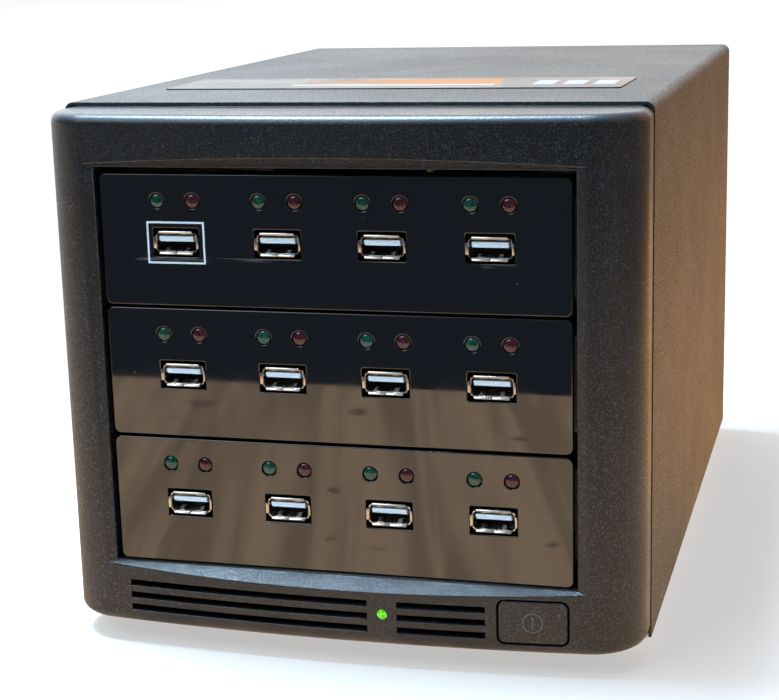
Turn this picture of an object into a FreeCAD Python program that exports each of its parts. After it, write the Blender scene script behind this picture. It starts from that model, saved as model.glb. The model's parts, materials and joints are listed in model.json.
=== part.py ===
import FreeCAD, Part

# Drive duplicator: a three-bay steel case whose bays hold four USB ports each.
# Millimetres. X is to the right seen from the front, Y runs to the back, Z is up.
# The origin is the centre of the bounding box, at the level that the feet stand on.

import math
import os

from FreeCAD import Vector

# ---- Driving dimensions --------------------------------------------------------------

# Sheet-metal case: what it leaves beside and above the bays and between the bays and the supply
side_room = 22.0
head_room = 19.86
cable_room = 22.0
sheet = 1.0
cover_bend = 3.0
cover_lip = 12.0
fold = 10.0
pan_wall = 12.0
pan_vent = 2.6
pan_vent_length = 40.0
pan_vent_pitch = 10.0
pan_vent_rows = 4
slip = 0.3
seam = 0.6

# Rubber feet
foot_height = 5.0
foot_radius = 9.0
foot_taper = 1.0
foot_inset_x = 27.0
foot_inset_y = 30.0

# Moulded front bezel
bezel_inset = 0.3
bezel_depth = 28.0
bezel_rise = 2.0
bezel_drop = 1.5
bezel_wall = 2.5
bezel_corner = 18.0
bezel_bow = 780.0
bezel_edge = 3.0
opening_side_gap = 1.5
opening_low_gap = 0.3
opening_high_gap = 2.2
facet_depth = 1.0
facet_ledge = 0.4
facet_slope = 0.65
facet_side_slope = 2.6
collar_wall = 2.0
rib_wall = 1.6
rib_lift = 2.5
side_rib_shares = (-0.35, 0, 0.35)
top_rib_shares = (-0.75, -0.25, 0.25, 0.75)
hook_shares = (0.2, 0.5, 0.8)
hook_width = 8.0
hook_wall = 1.6
hook_barb = 1.2
hook_inset = 5.0
hook_reach = 3.6
hook_root = 10.0

# Small round features are many-sided, to keep what repeats light
round_sides = 12
ring_sides = 16
small_sides = 6

# Vent slots of the bezel, on both sides of the power light and below the lowest bay
slot_height = 2.0
slot_pitch = 4.15
slot_count = 3
slot_drop = 6.5
slot_margin = 2.5
slot_light_gap = 4.75
slot_button_gap = 4.15

# Power button, its switch and the power light. The bays start above the button.
button_width = 21.1
button_height = 13.4
button_corner = 2.0
button_gap = 0.6
button_inset = 11.0
button_room = 0.4
button_drop = 10.9
button_wall = 1.6
button_depth = 9.0
button_travel = 2.5
button_flange = 1.5
sleeve_wall = 1.2
stem_radius = 2.5
running = 0.05
switch_side = 12.0
switch_depth = 14.0
switch_flange = 1.5
light_x = 14.75
light_drop = 11.0
light_radius = 1.7
light_length = 9.0
light_boss_wall = 1.5

# Bays and their port panels
bay_width = 146.0
bay_gap = 1.02
bay_set_back = 6.0
bay_slip = 0.2
panel_lap = 1.0
panel_height = 41.1
panel_corner = 2.0
panel_wall = 3.0
panel_rim = 2.0
panel_rim_depth = 8.0
boss_radius = 2.5
boss_inset = 1.5
tray_depth = 100.0
tray_wall_height = 30.0
tray_back_height = 24.0
tray_ear = 9.0
cage_depth = 140.0
cage_foot = 9.0
tab_length = 15.0
tab_reach = 4.0
tab_shares = (0.15, 0.6)

# Ports, port boards and lights
port_count = 4
port_pitch = 33.0
port_drop = 0.71
port_clear = (0.3, 0.8)
shell_size = (13.3, 5.9)
shell_lip = (0.55, 0.75)
shell_wall = 0.4
shell_length = 14.0
shell_proud = 0.5
flare_depth = 0.8
shell_corner = 0.6
tongue_size = (11.1, 1.84)
tongue_length = 8.8
tongue_raise = 1.1
tongue_block = 4.4
board_wall = 1.6
board_margin = 7.0
board_height = 33.0
hub_chip = (12.0, 12.0)
chip_wall = 1.2
header_size = (24.0, 8.0)
header_height = 8.0
header_wall = 1.0
led_spread = 5.8
led_rise = 12.25
led_radius = 2.05
led_gap = 0.35
led_crown = 0.6
led_proud = 0.3

# Power supply, its inlet, rocker switch and fan
psu_width = 125.0
psu_depth = 100.0
psu_wall = 1.0
psu_window = 5.0
psu_slot_pitch = 6.5
psu_slot = 2.6
psu_vents = 8
psu_vent_pitch = 10.0
psu_screw_inset = 6.0
psu_fan_side = 60.0
psu_fan_depth = 15.0
psu_fan_inset = 10.0
psu_fan_room = 0.75
psu_fan_screw_inset = 5.0
psu_board_raise = 4.0
sink_wall = 3.0
sink_height = 36.0
fin_reach = 6.0
fin_wall = 1.5
fin_pitch = 4.0
fin_count = 3
sink_span = (0.1, 0.9)
transformer_span = (0.3, 0.8)
capacitor_place = 0.2
transformer_size = (30.0, 26.0)
capacitor_radius = 6.0
capacitor_height = 30.0
capacitor_inset = 9.0
inlet_cut = (27.0, 20.0)
inlet_flange = (31.0, 24.0)
inlet_flange_wall = 2.5
inlet_body = 17.0
inlet_cavity = (24.2, 16.4)
inlet_cavity_depth = 15.0
inlet_pin = (2.0, 4.0)
inlet_pin_length = 11.0
inlet_pin_tail = 6.0
inlet_pin_spread = 7.0
inlet_earth_raise = 3.6
inlet_corner = 1.0
inlet_inset = 28.5
inlet_raise = 20.0
rocker_cut = (19.2, 12.9)
rocker_flange = (21.0, 15.0)
rocker_body = 12.0
rocker_width = 15.0
rocker_length = 10.0
rocker_drop = 17.0
rocker_pin = 1.0
rocker_pin_length = 0.8
rocker_rise = 3.2
rocker_dish = 1.4
rocker_belly = 2.6
rocker_shoulder = 1.0
rocker_shoulder_gap = 0.2
rocker_end_gap = 0.6
rocker_well_gap = 0.5

# Case fan above the power supply
fan_side = 80.0
fan_gap = 0.5
fan_depth = 25.0
fan_corner = 4.0
fan_rim = 1.8
fan_flange = 4.0
fan_screw_inset = 4.25
fan_screw = 2.15
fan_hub = 16.0
fan_tip_gap = 1.2
fan_blades = 7
fan_blade_wall = 1.6
fan_blade_pitch = 40.0
fan_blade_taper = 0.7
fan_cup_wall = 2.5
fan_axle = 1.5
grille_slot = 4.0
grille_pitch = 7.5

# Controller board on the floor of the case
controller_size = (120.0, 70.0)
controller_standoff = 6.0
controller_inset = 5.0
controller_set_back = 18.0
standoff_radius = 3.0
processor_side = 28.0
processor_wall = 2.0
processor_fins = 7
processor_fin_height = 6.0
memory_size = (10.0, 16.0)
memory_x = (-35.0, -21.0, 23.0, 37.0)
bay_header_x = (-36.0, 0.0, 36.0)
bay_header_size = (24.0, 6.0)
bay_header_height = 7.0
power_header_size = (20.0, 8.0)
header_margin = 4.0

# Screws and the top label
cover_screw_shares = (0.15, 0.5, 0.85)
screw_radius = 1.5
screw_head = 3.1
screw_head_height = 2.2
screw_length = 6.0
label_size = (157.0, 40.0)
label_wall = 0.4
label_set_back = 45.0
label_corner = 1.5

# ---- Levels and planes that the pieces share -----------------------------------------

bay_names = ["bottom", "middle", "top"]
bays = range(len(bay_names))
bay_pitch = panel_height + bay_gap
stack_height = (len(bay_names) - 1) * bay_pitch + panel_height
panel_width = bay_width + 2 * panel_lap

case_low = foot_height
bezel_low = case_low + bezel_rise
button_z = (bezel_low + bezel_wall + button_room
            + max(button_height / 2 + button_gap, switch_side / 2 + switch_flange))
stack_low = button_z + button_drop
stack_top = stack_low + stack_height

case_width = bay_width + 2 * side_room
case_depth = cage_depth + cable_room + psu_depth + 3 * sheet
case_top = stack_top + head_room
case_height = case_top - case_low
half_case = case_width / 2
half_inside = half_case - sheet - slip
inside_top = case_top - sheet - slip
floor_top = case_low + sheet

rear_reach = screw_head_height
overall_depth = bezel_depth + case_depth + rear_reach
face_y = -overall_depth / 2
frame_y = face_y + bezel_depth
frame_back = frame_y + sheet
case_back = frame_y + case_depth
panel_out = case_back - sheet
panel_in = panel_out - sheet

bezel_width = case_width - 2 * bezel_inset
bezel_top = case_top - bezel_drop
front_y = face_y + bay_set_back
open_half = panel_width / 2 + opening_side_gap
open_low = stack_low - opening_low_gap
open_top = stack_top + opening_high_gap
open_mid = (open_low + open_top) / 2
open_size = (2 * open_half, open_top - open_low)

shell_flare = (shell_size[0] + 2 * shell_lip[0], shell_size[1] + 2 * shell_lip[1])
port_cut = (shell_flare[0] + 2 * port_clear[0], shell_flare[1] + 2 * port_clear[1])
shell_y = front_y - shell_proud
board_y = shell_y + shell_length
board_back = board_y + board_wall
board_size = (bay_width - 2 * board_margin, board_height)
button_centre_x = bay_width / 2 - button_inset
switch_face = frame_y - switch_flange - sheet
light_z = stack_low - light_drop
slot_z = stack_low - slot_drop
slot_groups = [(slot_margin - bay_width / 2, light_x - slot_light_gap),
               (light_x + slot_light_gap, button_centre_x - button_width / 2 - slot_button_gap)]
hook_x = bezel_width / 2 - bezel_wall - hook_inset
hook_places = [(side * hook_x, bezel_low + (bezel_top - bezel_low) * share, side)
               for side in (-1, 1) for share in hook_shares]

psu_y = panel_in - psu_depth
psu_low = floor_top
psu_height = psu_fan_side + 2 * (psu_fan_room + psu_wall)
psu_top = psu_low + psu_height
psu_half = psu_width / 2
psu_mid_z = psu_low + psu_height / 2
psu_fan_x = -psu_half + psu_fan_inset + psu_fan_side / 2
psu_fan_bore = psu_fan_side / 2 - fan_rim
inlet_x = psu_half - inlet_inset
inlet_z = psu_low + inlet_raise
rocker_z = psu_top - rocker_drop
fan_bore = fan_side / 2 - fan_rim
fan_z = psu_top + fan_gap + fan_side / 2

controller_low = floor_top + controller_standoff
controller_back = psu_y - controller_set_back
controller_y = controller_back - controller_size[1]

port_x = [(i - (port_count - 1) / 2) * port_pitch for i in range(port_count)]
X, Y, Z = Vector(1, 0, 0), Vector(0, 1, 0), Vector(0, 0, 1)


# ---- Shapes that several pieces use --------------------------------------------------

def block(x0, x1, y0, y1, z0, z1):
    return Part.makeBox(x1 - x0, y1 - y0, z1 - z0, Vector(x0, y0, z0))


def block_at(x, z, size, y0, y1):
    """A block of size (X, Z) centred on x and z, from y0 back to y1."""
    return block(x - size[0] / 2, x + size[0] / 2, y0, y1, z - size[1] / 2, z + size[1] / 2)


def ring(radius, height, sides):
    """The corners of a regular many-sided ring round the Z axis."""
    turns = [2 * math.pi * i / sides for i in range(sides)]
    return [Vector(radius * math.cos(turn), radius * math.sin(turn), height) for turn in turns]


def flat_face(points):
    return Part.Face(Part.makePolygon(points + points[:1]))


def turned(x, y, z, profile, along=Y, sides=round_sides):
    """A many-sided solid through (radius, distance) sections along an axis from a point."""
    rings = [ring(radius, distance, sides) for radius, distance in profile]
    faces = [flat_face(rings[0]), flat_face(rings[-1])]
    for near, far in zip(rings, rings[1:]):
        for i in range(sides):
            j = (i + 1) % sides
            faces.append(flat_face([near[i], near[j], far[j], far[i]]))
    solid = Part.Solid(Part.Shell(faces))
    if solid.Volume < 0:
        solid.reverse()
    solid.Placement = FreeCAD.Placement(Vector(x, y, z), FreeCAD.Rotation(Z, along))
    return solid


def bar(x, y, z, radius, length, along=Y, sides=round_sides):
    """A many-sided bar along an axis from a point."""
    return turned(x, y, z, [(radius, 0), (radius, length)], along, sides)


def edges_along(shape, axis):
    return [edge for edge in shape.Edges
            if all(abs(edge.tangentAt(end).dot(axis)) > 0.999
                   for end in (edge.FirstParameter, edge.LastParameter))]


def rounded(shape, radius, axis=Y):
    """The shape with its edges that run along an axis rounded."""
    return shape.makeFillet(radius, edges_along(shape, axis))


def fuse(shapes):
    first, rest = shapes[0], shapes[1:]
    if not rest:
        return first
    return first.fuse(rest).removeSplitter()


def prism_y(points, y0, y1):
    """A straight prism along Y over a polygon of (x, z) points."""
    return flat_face([Vector(x, y0, z) for x, z in points]).extrude(Vector(0, y1 - y0, 0))


def framed(x, z, size, y):
    """A rectangular wire of size (X, Z) centred on x and z at depth y."""
    w, h = size[0] / 2, size[1] / 2
    corners = [(x - w, z - h), (x + w, z - h), (x + w, z + h), (x - w, z + h), (x - w, z - h)]
    return Part.makePolygon([Vector(px, y, pz) for px, pz in corners])


def hex_screw(x, y, z, along):
    """A hexagon-head case screw whose head sits at the point and whose shank runs along an axis."""
    head = bar(x, y, z, screw_head, screw_head_height, -along, small_sides)
    return head.fuse(bar(x, y, z, screw_radius, screw_length, along, small_sides))


def running_bar(x, y, z, radius, length, along=Y):
    """The space of a bore that a many-sided bar of the radius turns or slides in."""
    return bar(x, y, z, (radius + running) / math.cos(math.pi / round_sides), length, along)


def screw_hole(x, y, z, depth, along=Y):
    """The hole that a screw's shank fills, through the given depth of metal."""
    return bar(x, y, z, screw_radius, depth, along, small_sides)


def hollow_rect(x, z, outer, inner, y0, y1):
    return block_at(x, z, outer, y0, y1).cut(block_at(x, z, inner, y0, y1))


# ---- Places of the fasteners ---------------------------------------------------------

def four_corners(x, z, spread_x, spread_z):
    """Four places, spread to each side of a middle."""
    return [(x + sx * spread_x, z + sz * spread_z) for sx in (-1, 1) for sz in (-1, 1)]


side_screw_x = half_case - cover_lip / 2
cover_screws = [(side * side_screw_x, case_low + case_height * share)
                for side in (-1, 1) for share in cover_screw_shares]
fan_screw_spread = fan_side / 2 - fan_screw_inset
fan_screws = four_corners(0, fan_z, fan_screw_spread, fan_screw_spread)
psu_screws = four_corners(0, psu_mid_z, psu_half - psu_screw_inset, psu_height / 2 - psu_screw_inset)
psu_fan_spread = psu_fan_side / 2 - psu_fan_screw_inset
psu_fan_holes = four_corners(psu_fan_x, psu_mid_z, psu_fan_spread, psu_fan_spread)
foot_places = four_corners(0, frame_y + case_depth / 2, half_case - foot_inset_x,
                           case_depth / 2 - foot_inset_y)
boss_places = four_corners(0, 0, port_pitch, board_height / 2 - boss_inset)
controller_posts = four_corners(0, controller_y + controller_size[1] / 2,
                                controller_size[0] / 2 - controller_inset,
                                controller_size[1] / 2 - controller_inset)
tray_screw_y = frame_back + cage_depth / 2


def bay_low(bay):
    return stack_low + bay * bay_pitch


def port_z(bay):
    return bay_low(bay) + panel_height / 2 - port_drop


def tray_low(bay):
    """The underside of a bay's tray: the tray is centred on the panel."""
    return bay_low(bay) + panel_rim + sheet


# ---- Outer case ----------------------------------------------------------------------

def outer_cover():
    """Top and both sides in one folded sheet, with lips that screw on the rear panel."""
    y0 = frame_y + seam
    body = rounded(block(-half_case, half_case, y0, case_back, case_low - cover_bend, case_top), cover_bend)
    inner_bend = cover_bend - sheet
    hollow = block(-half_case + sheet, half_case - sheet, y0, panel_out,
                   case_low - 2 * cover_bend, case_top - sheet)
    hollow = rounded(hollow, inner_bend)
    window = block(-half_case + cover_lip, half_case - cover_lip, panel_out, case_back,
                   case_low - 2 * cover_bend, case_top - cover_lip)
    below = block(-half_case, half_case, y0, case_back, case_low - 2 * cover_bend, case_low)
    cover = body.cut([hollow, window, below])
    return cover.cut([screw_hole(x, panel_out, z, sheet) for x, z in cover_screws])


def base_pan():
    """The floor, with turned-up sides, vents and the controller's stand-offs."""
    y0, y1 = frame_back, panel_in
    pan = block(-half_inside, half_inside, y0, y1, case_low, floor_top + pan_wall)
    pan = pan.cut(block(-half_inside + sheet, half_inside - sheet, y0, y1, floor_top, floor_top + pan_wall))
    posts = [bar(x, y, floor_top, standoff_radius, controller_standoff, Z, small_sides)
             for x, y in controller_posts]
    vents = []
    for side in (-1, 1):
        x0, x1 = sorted((side * pan_vent_length / 2, side * pan_vent_length * 3 / 2))
        for row in range(pan_vent_rows):
            y = controller_back - controller_inset - (row + 1) * pan_vent_pitch
            vents.append(block(x0, x1, y, y + pan_vent, case_low, floor_top))
    return fuse([pan] + posts).cut(vents)


def folded_plate(y0, y1, fold_y):
    """A plate that fits inside the cover, with flanges folded along its sides and top to fold_y."""
    low = case_low - cover_bend
    near, far = min(y0, fold_y), max(y1, fold_y)
    body = rounded(block(-half_inside, half_inside, near, far, low, inside_top), cover_bend)
    fold_y0, fold_y1 = sorted((fold_y, y0 if fold_y < y0 else y1))
    hollow = block(-half_inside + sheet, half_inside - sheet, fold_y0, fold_y1, low, inside_top - sheet)
    clear_of_pan = block(-half_inside, half_inside, fold_y0, fold_y1, low, floor_top + pan_wall + slip)
    below = block(-half_inside, half_inside, y0, y1, low, case_low)
    return body.cut([hollow, clear_of_pan, below])


def front_frame():
    """The steel front, with the bay opening, windows for the switch and the vents, and hook slots."""
    frame = folded_plate(frame_y, frame_back, frame_back + fold)
    opening = block(-open_half, open_half, frame_y, frame_back, stack_low - slip, stack_top + slip)
    vents = block(slot_groups[0][0], slot_groups[1][1], frame_y, frame_back, floor_top + sheet, slot_z)
    switch = block_at(button_centre_x, button_z, (switch_side, switch_side), frame_y, frame_back)
    hooks = [block_at(x, z, (hook_wall + 2 * hook_barb, hook_width + 2 * slip), frame_y, frame_back)
             for x, z, _ in hook_places]
    return frame.cut([opening, vents, switch] + hooks)


def rear_panel():
    """The steel back, with the fan's slotted grille and the window of the power supply."""
    panel = folded_plate(panel_in, panel_out, panel_in - fold)
    window_size = (psu_width - 2 * psu_window, psu_height - 2 * psu_window)
    window = block_at(0, psu_mid_z, window_size, panel_in, panel_out)
    corners = [bar(x, panel_in, z, psu_screw_inset, sheet) for x, z in psu_screws]
    window = window.cut(corners)
    grille = grille_slots(0, fan_z, fan_bore - grille_slot, grille_slot, grille_pitch, panel_in, panel_out)
    holes = [screw_hole(x, panel_in, z, sheet) for x, z in cover_screws + psu_screws + fan_screws]
    return panel.cut([window] + grille + holes)


def grille_slots(x, z, radius, width, pitch, y0, y1):
    """Upright slots whose ends follow a circle, with a bar left across the middle."""
    slots = []
    count = int(radius / pitch)
    for i in range(-count, count + 1):
        reach = math.sqrt(radius ** 2 - (i * pitch) ** 2)
        if reach < 2 * width:
            continue
        for side in (-1, 1):
            middle = z + side * (reach + width / 2) / 2
            slots.append(block_at(x + i * pitch, middle, (width, reach - width / 2), y0, y1))
    return slots


def rubber_feet():
    """Four tapered feet, glued under the floor."""
    profile = [(foot_radius - foot_taper, 0), (foot_radius, foot_height)]
    return [turned(x, y, 0, profile, Z, ring_sides) for x, y in foot_places]


def top_label():
    """The blank plate stuck on the top."""
    y0 = frame_y + seam + label_set_back
    half = label_size[0] / 2
    plate = block(-half, half, y0, y0 + label_size[1], case_top, case_top + label_wall)
    return plate.makeChamfer(label_corner, edges_along(plate, Z))


# ---- Moulded bezel -------------------------------------------------------------------

def bow_y(x):
    """Depth of the bowed front face at x."""
    return face_y + bezel_bow - math.sqrt(bezel_bow ** 2 - x ** 2)


def bezel_outline(inset, back):
    """The bezel seen from above, drawn in by inset: straight sides, round corners and a bowed front."""
    centre = Vector(0, face_y + bezel_bow, 0)
    corner_x = bezel_width / 2 - bezel_corner
    swing = bezel_bow - bezel_corner
    corner_y = centre.y - math.sqrt(swing ** 2 - corner_x ** 2)
    radius = bezel_corner - inset
    half = bezel_width / 2 - inset
    edges = []
    ends = []
    for side in (-1, 1):
        corner = Vector(side * corner_x, corner_y, 0)
        outward = (corner - centre).normalize()
        touch = corner + outward * radius
        middle = corner + (outward + Vector(side, 0, 0)).normalize() * radius
        start = Vector(side * half, corner_y, 0)
        edges.append(Part.makeLine(Vector(side * half, back, 0), start))
        edges.append(Part.Arc(start, middle, touch).toShape())
        ends.append(touch)
    edges.append(Part.Arc(ends[0], Vector(0, face_y + inset, 0), ends[1]).toShape())
    edges.append(Part.makeLine(Vector(-half, back, 0), Vector(half, back, 0)))
    return Part.Face(Part.Wire(Part.__sortEdges__(edges)))


def bezel_body(inset, back):
    """The solid between two levels over the bezel's outline."""
    face = bezel_outline(inset, back)
    face.translate(Vector(0, 0, bezel_low + inset))
    return face.extrude(Vector(0, 0, bezel_top - bezel_low - 2 * inset))


def rim_edges(body, back):
    """The front and side edges at the top and bottom of the bezel's body."""
    found = []
    for edge in body.Edges:
        box = edge.BoundBox
        flat = box.ZLength < 0.01
        on_back = box.YLength < 0.01 and abs(box.YMax - back) < 0.01
        if flat and not on_back:
            found.append(edge)
    return found


def opening_facets():
    """The slanted border of the bay opening: narrow at the sides, and crescents above and below."""
    depth = front_y - facet_depth
    reach = depth - face_y + facet_depth
    low, high = open_low - facet_ledge, open_top + facet_ledge
    size = (2 * (open_half + facet_ledge), high - low)
    grown = (size[0] + 2 * reach * facet_side_slope, size[1] + 2 * reach * facet_slope)
    middle = (low + high) / 2
    inner = framed(0, middle, size, depth)
    outer = framed(0, middle, grown, depth - reach)
    return Part.makeLoft([inner, outer], True, True)


def snap_hook(x, z, side):
    """A hook that stands on a rib, passes the front frame and catches behind it."""
    y0, y1 = frame_back, frame_back + hook_reach
    low, high = z - hook_width / 2, z + hook_width / 2
    arm = block_at(x, z, (hook_wall, hook_width), frame_y - hook_inset, y1)
    tip = x + side * hook_wall / 2
    slope = flat_face([Vector(tip, y0, low), Vector(tip + side * hook_barb, y0, low), Vector(tip, y1, low)])
    x0, x1 = sorted((x, side * (bezel_width / 2 - bezel_wall)))
    root = block(x0, x1, frame_y - hook_root, frame_y - rib_lift, low, high)
    return [arm, slope.extrude(Z * hook_width), root]


def button_space(gap, y0, y1):
    """The rounded prism that the button fills, grown by a gap."""
    size = (button_width + 2 * gap, button_height + 2 * gap)
    return rounded(block_at(button_centre_x, button_z, size, y0, y1), button_corner + gap)


def sleeve_back():
    """Where the bezel's guide sleeve for the button ends."""
    return bow_y(button_centre_x) + button_depth


def front_bezel():
    """The moulded bezel: a shell with a bowed face, a collar round the bays, vents, ribs and hooks."""
    outer = bezel_body(0, frame_y)
    outer = outer.makeFillet(bezel_edge, rim_edges(outer, frame_y))
    shell = outer.cut(bezel_body(bezel_wall, frame_y + bezel_wall))
    thick = 2 * collar_wall
    collar = block_at(0, open_mid, (open_size[0] + thick, open_size[1] + thick), face_y, frame_y)
    sleeve = button_space(button_gap + sleeve_wall, face_y, sleeve_back())
    light_hole_y = bow_y(light_x)
    boss_depth = light_hole_y + light_length - face_y
    boss = bar(light_x, face_y, light_z, light_radius + light_boss_wall, boss_depth)
    inside = fuse([collar, sleeve, boss] + bezel_ribs()).common(bezel_body(bezel_wall / 2, frame_y))
    hooks = [piece for place in hook_places for piece in snap_hook(*place)]
    bezel = fuse([shell, inside] + hooks)
    cuts = [block_at(0, open_mid, open_size, face_y, frame_y), opening_facets(),
            button_space(button_gap, face_y, sleeve_back()),
            bar(light_x, face_y, light_z, light_radius, boss_depth)]
    return bezel.cut(cuts + vent_slots())


def bezel_ribs():
    """Stiffening ribs from the collar out to the walls."""
    ribs = []
    y0, y1 = face_y, frame_y - rib_lift
    half = bezel_width / 2
    for share in side_rib_shares:
        z = open_mid + share * open_size[1]
        for side in (-1, 1):
            x0, x1 = sorted((side * open_half + side * collar_wall, side * half))
            ribs.append(block(x0, x1, y0, y1, z - rib_wall / 2, z + rib_wall / 2))
    for share in top_rib_shares:
        x = share * open_half
        ribs.append(block(x - rib_wall / 2, x + rib_wall / 2, y0, y1, open_top + collar_wall, bezel_top))
    return ribs


def vent_slots():
    """Two groups of level slots beside the power light."""
    slots = []
    for x0, x1 in slot_groups:
        for i in range(slot_count):
            top = slot_z - i * slot_pitch
            slots.append(block(x0, x1, face_y, face_y + bezel_corner, top - slot_height, top))
    return slots


# ---- Power button, switch and light --------------------------------------------------

def power_button():
    """The hollow cap with its retaining flange and the stem that presses the switch."""
    back = sleeve_back()
    cap = button_space(0, face_y, back).common(bezel_body(0, frame_y))
    flange_y = back + running
    cap_back = flange_y + button_flange
    skirt = button_space(0, back - button_wall, cap_back)
    ears = (button_width + 2 * (button_gap + button_flange), button_height - 2 * button_corner)
    flange = block_at(button_centre_x, button_z, ears, flange_y, cap_back)
    hollow_size = (button_width - 2 * button_wall, button_height - 2 * button_wall)
    hollow = block_at(button_centre_x, button_z, hollow_size,
                      bow_y(button_centre_x) + 2 * button_wall, cap_back)
    cap = fuse([cap, skirt, flange]).cut(hollow)
    stem_y = bow_y(button_centre_x) + button_wall
    stem = bar(button_centre_x, stem_y, button_z, stem_radius, switch_face + sheet - stem_y)
    return fuse([cap, stem])


def power_switch():
    """A momentary switch whose flange sits on the front frame, bored for the button's stem."""
    y0 = switch_face
    body = block_at(button_centre_x, button_z, (switch_side, switch_side), y0, y0 + switch_depth)
    flange_side = switch_side + 2 * switch_flange
    flange_size = (flange_side, flange_side)
    flange = block_at(button_centre_x, button_z, flange_size, frame_y - switch_flange, frame_y)
    bore = running_bar(button_centre_x, y0, button_z, stem_radius, button_travel + 2 * sheet)
    return fuse([body, flange]).cut(bore)


def power_light():
    """The lens of the power light, pressed in its boss."""
    return bar(light_x, bow_y(light_x), light_z, light_radius, light_length)


# ---- Bays ----------------------------------------------------------------------------

def bay_cage():
    """An upturned channel that carries the three trays on bent-in tabs."""
    half = bay_width / 2 + bay_slip
    top = stack_top + slip + sheet
    y0, y1 = frame_back, frame_back + cage_depth
    channel = block(-half - sheet, half + sheet, y0, y1, floor_top, top + sheet)
    channel = channel.cut(block(-half, half, y0, y1, floor_top, top))
    pieces = [channel]
    cuts = []
    for side in (-1, 1):
        x0, x1 = sorted((side * (half + sheet), side * (half + cage_foot)))
        pieces.append(block(x0, x1, y0, y1, floor_top, floor_top + sheet))
        for bay in bays:
            z = tray_low(bay)
            for share in tab_shares:
                ya = y0 + share * cage_depth
                xa, xb = sorted((side * half, side * (half - tab_reach)))
                pieces.append(block(xa, xb, ya, ya + tab_length, z - sheet, z))
                xa, xb = sorted((side * half, side * (half + sheet)))
                cuts.append(block(xa, xb, ya, ya + tab_length, z, z + tab_reach))
            screw_z = z + tray_wall_height / 2
            cuts.append(screw_hole(side * (half + sheet), tray_screw_y, screw_z, sheet, X * -side))
    return fuse(pieces).cut(cuts)


def bay_tray(bay):
    """A channel that slides in its bay, with a low back and ears that hold the port board."""
    half = bay_width / 2
    z0 = tray_low(bay)
    z1 = z0 + tray_wall_height
    y0, y1 = board_back, board_back + tray_depth
    inner = half - sheet
    tray = block(-half, half, y0, y1, z0, z1).cut(block(-inner, inner, y0, y1, z0 + sheet, z1))
    pieces = [tray, block(-inner, inner, y1 - sheet, y1, z0, z0 + tray_back_height)]
    cuts = []
    for side in (-1, 1):
        xa, xb = sorted((side * half, side * (half - tray_ear)))
        pieces.append(block(xa, xb, y0, y0 + sheet, z0, z1))
        cuts.append(screw_hole(side * half, tray_screw_y, z0 + tray_wall_height / 2, sheet, X * -side))
    return fuse(pieces).cut(cuts)


def port_panel(bay):
    """The gloss front of a bay: plate, rear rim, board bosses, port cut-outs and light holes."""
    mid = bay_low(bay) + panel_height / 2
    back = front_y + panel_wall
    plate = rounded(block_at(0, mid, (panel_width, panel_height), front_y, back), panel_corner)
    rim_outer = (bay_width - 2 * bay_slip, panel_height - 2 * panel_rim)
    rim_inner = (rim_outer[0] - 2 * panel_rim, rim_outer[1] - 2 * panel_rim)
    rim = hollow_rect(0, mid, rim_outer, rim_inner, back, back + panel_rim_depth)
    bosses = [bar(x, back, mid + z, boss_radius, board_y - back, Y, small_sides) for x, z in boss_places]
    cuts = []
    for x in port_x:
        cuts.append(block_at(x, port_z(bay), port_cut, front_y, back))
        cuts += [bar(x + side * led_spread, front_y, mid + led_rise, led_radius + led_gap, panel_wall, Y,
                     small_sides) for side in (-1, 1)]
    return fuse([plate, rim] + bosses).cut(cuts)


def port_board(bay):
    """The circuit board behind a panel, with its hub chip and cable header."""
    mid = bay_low(bay) + panel_height / 2
    board = block_at(0, mid, board_size, board_y, board_back)
    chip = block_at(-port_pitch, mid, hub_chip, board_back, board_back + chip_wall)
    well = (header_size[0] - 2 * header_wall, header_size[1] - 2 * header_wall)
    header = hollow_rect(port_pitch, mid, header_size, well, board_back, board_back + header_height)
    return [board, chip, header]


def eight_sided(x, z, size, y):
    """A rectangle with cut corners, as a wire."""
    w, h, c = size[0] / 2, size[1] / 2, shell_corner
    corners = [(c - w, -h), (w - c, -h), (w, c - h), (w, h - c),
               (w - c, h), (c - w, h), (-w, h - c), (-w, c - h)]
    points = [Vector(x + a, y, z + b) for a, b in corners]
    return Part.makePolygon(points + points[:1])


def tapered(x, z, sections):
    """A solid through cut-cornered rectangles: (size, depth) pairs from the front."""
    return Part.makeLoft([eight_sided(x, z, size, y) for size, y in sections], True, True)


def inside_of(size):
    """The inside of a shell of an outer size."""
    return size[0] - 2 * shell_wall, size[1] - 2 * shell_wall


def usb_shell(x, z):
    """A port's folded metal shell, with its mouth flared."""
    y0, y1 = shell_y, shell_y + shell_length
    throat = y0 + flare_depth
    outer = tapered(x, z, [(shell_flare, y0), (shell_size, throat), (shell_size, y1)])
    bore = tapered(x, z, [(inside_of(shell_flare), y0), (inside_of(shell_size), throat),
                          (inside_of(shell_size), y1)])
    return outer.cut(bore)


def usb_shells(bay):
    return [usb_shell(x, port_z(bay)) for x in port_x]


def usb_tongue(x, z):
    """The insulator of a port: a block at the back, and the tongue that carries the contacts."""
    block_y = board_y - tongue_block
    body = tapered(x, z, [(inside_of(shell_size), block_y), (inside_of(shell_size), board_y)])
    tongue = block_at(x, z + tongue_raise, tongue_size, block_y - tongue_length, block_y)
    return body.fuse(tongue)


def usb_tongues(bay):
    return [usb_tongue(x, port_z(bay)) for x in port_x]


def port_leds(bay, side):
    """One colour of a panel's lights: the left or the right one over each port, with crowned fronts."""
    y0 = front_y - led_proud
    z = bay_low(bay) + panel_height / 2 + led_rise
    profile = [(led_radius / 2, 0), (led_radius, led_crown), (led_radius, board_y - y0)]
    return [turned(x + side * led_spread, y0, z, profile, Y, small_sides) for x in port_x]


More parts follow.
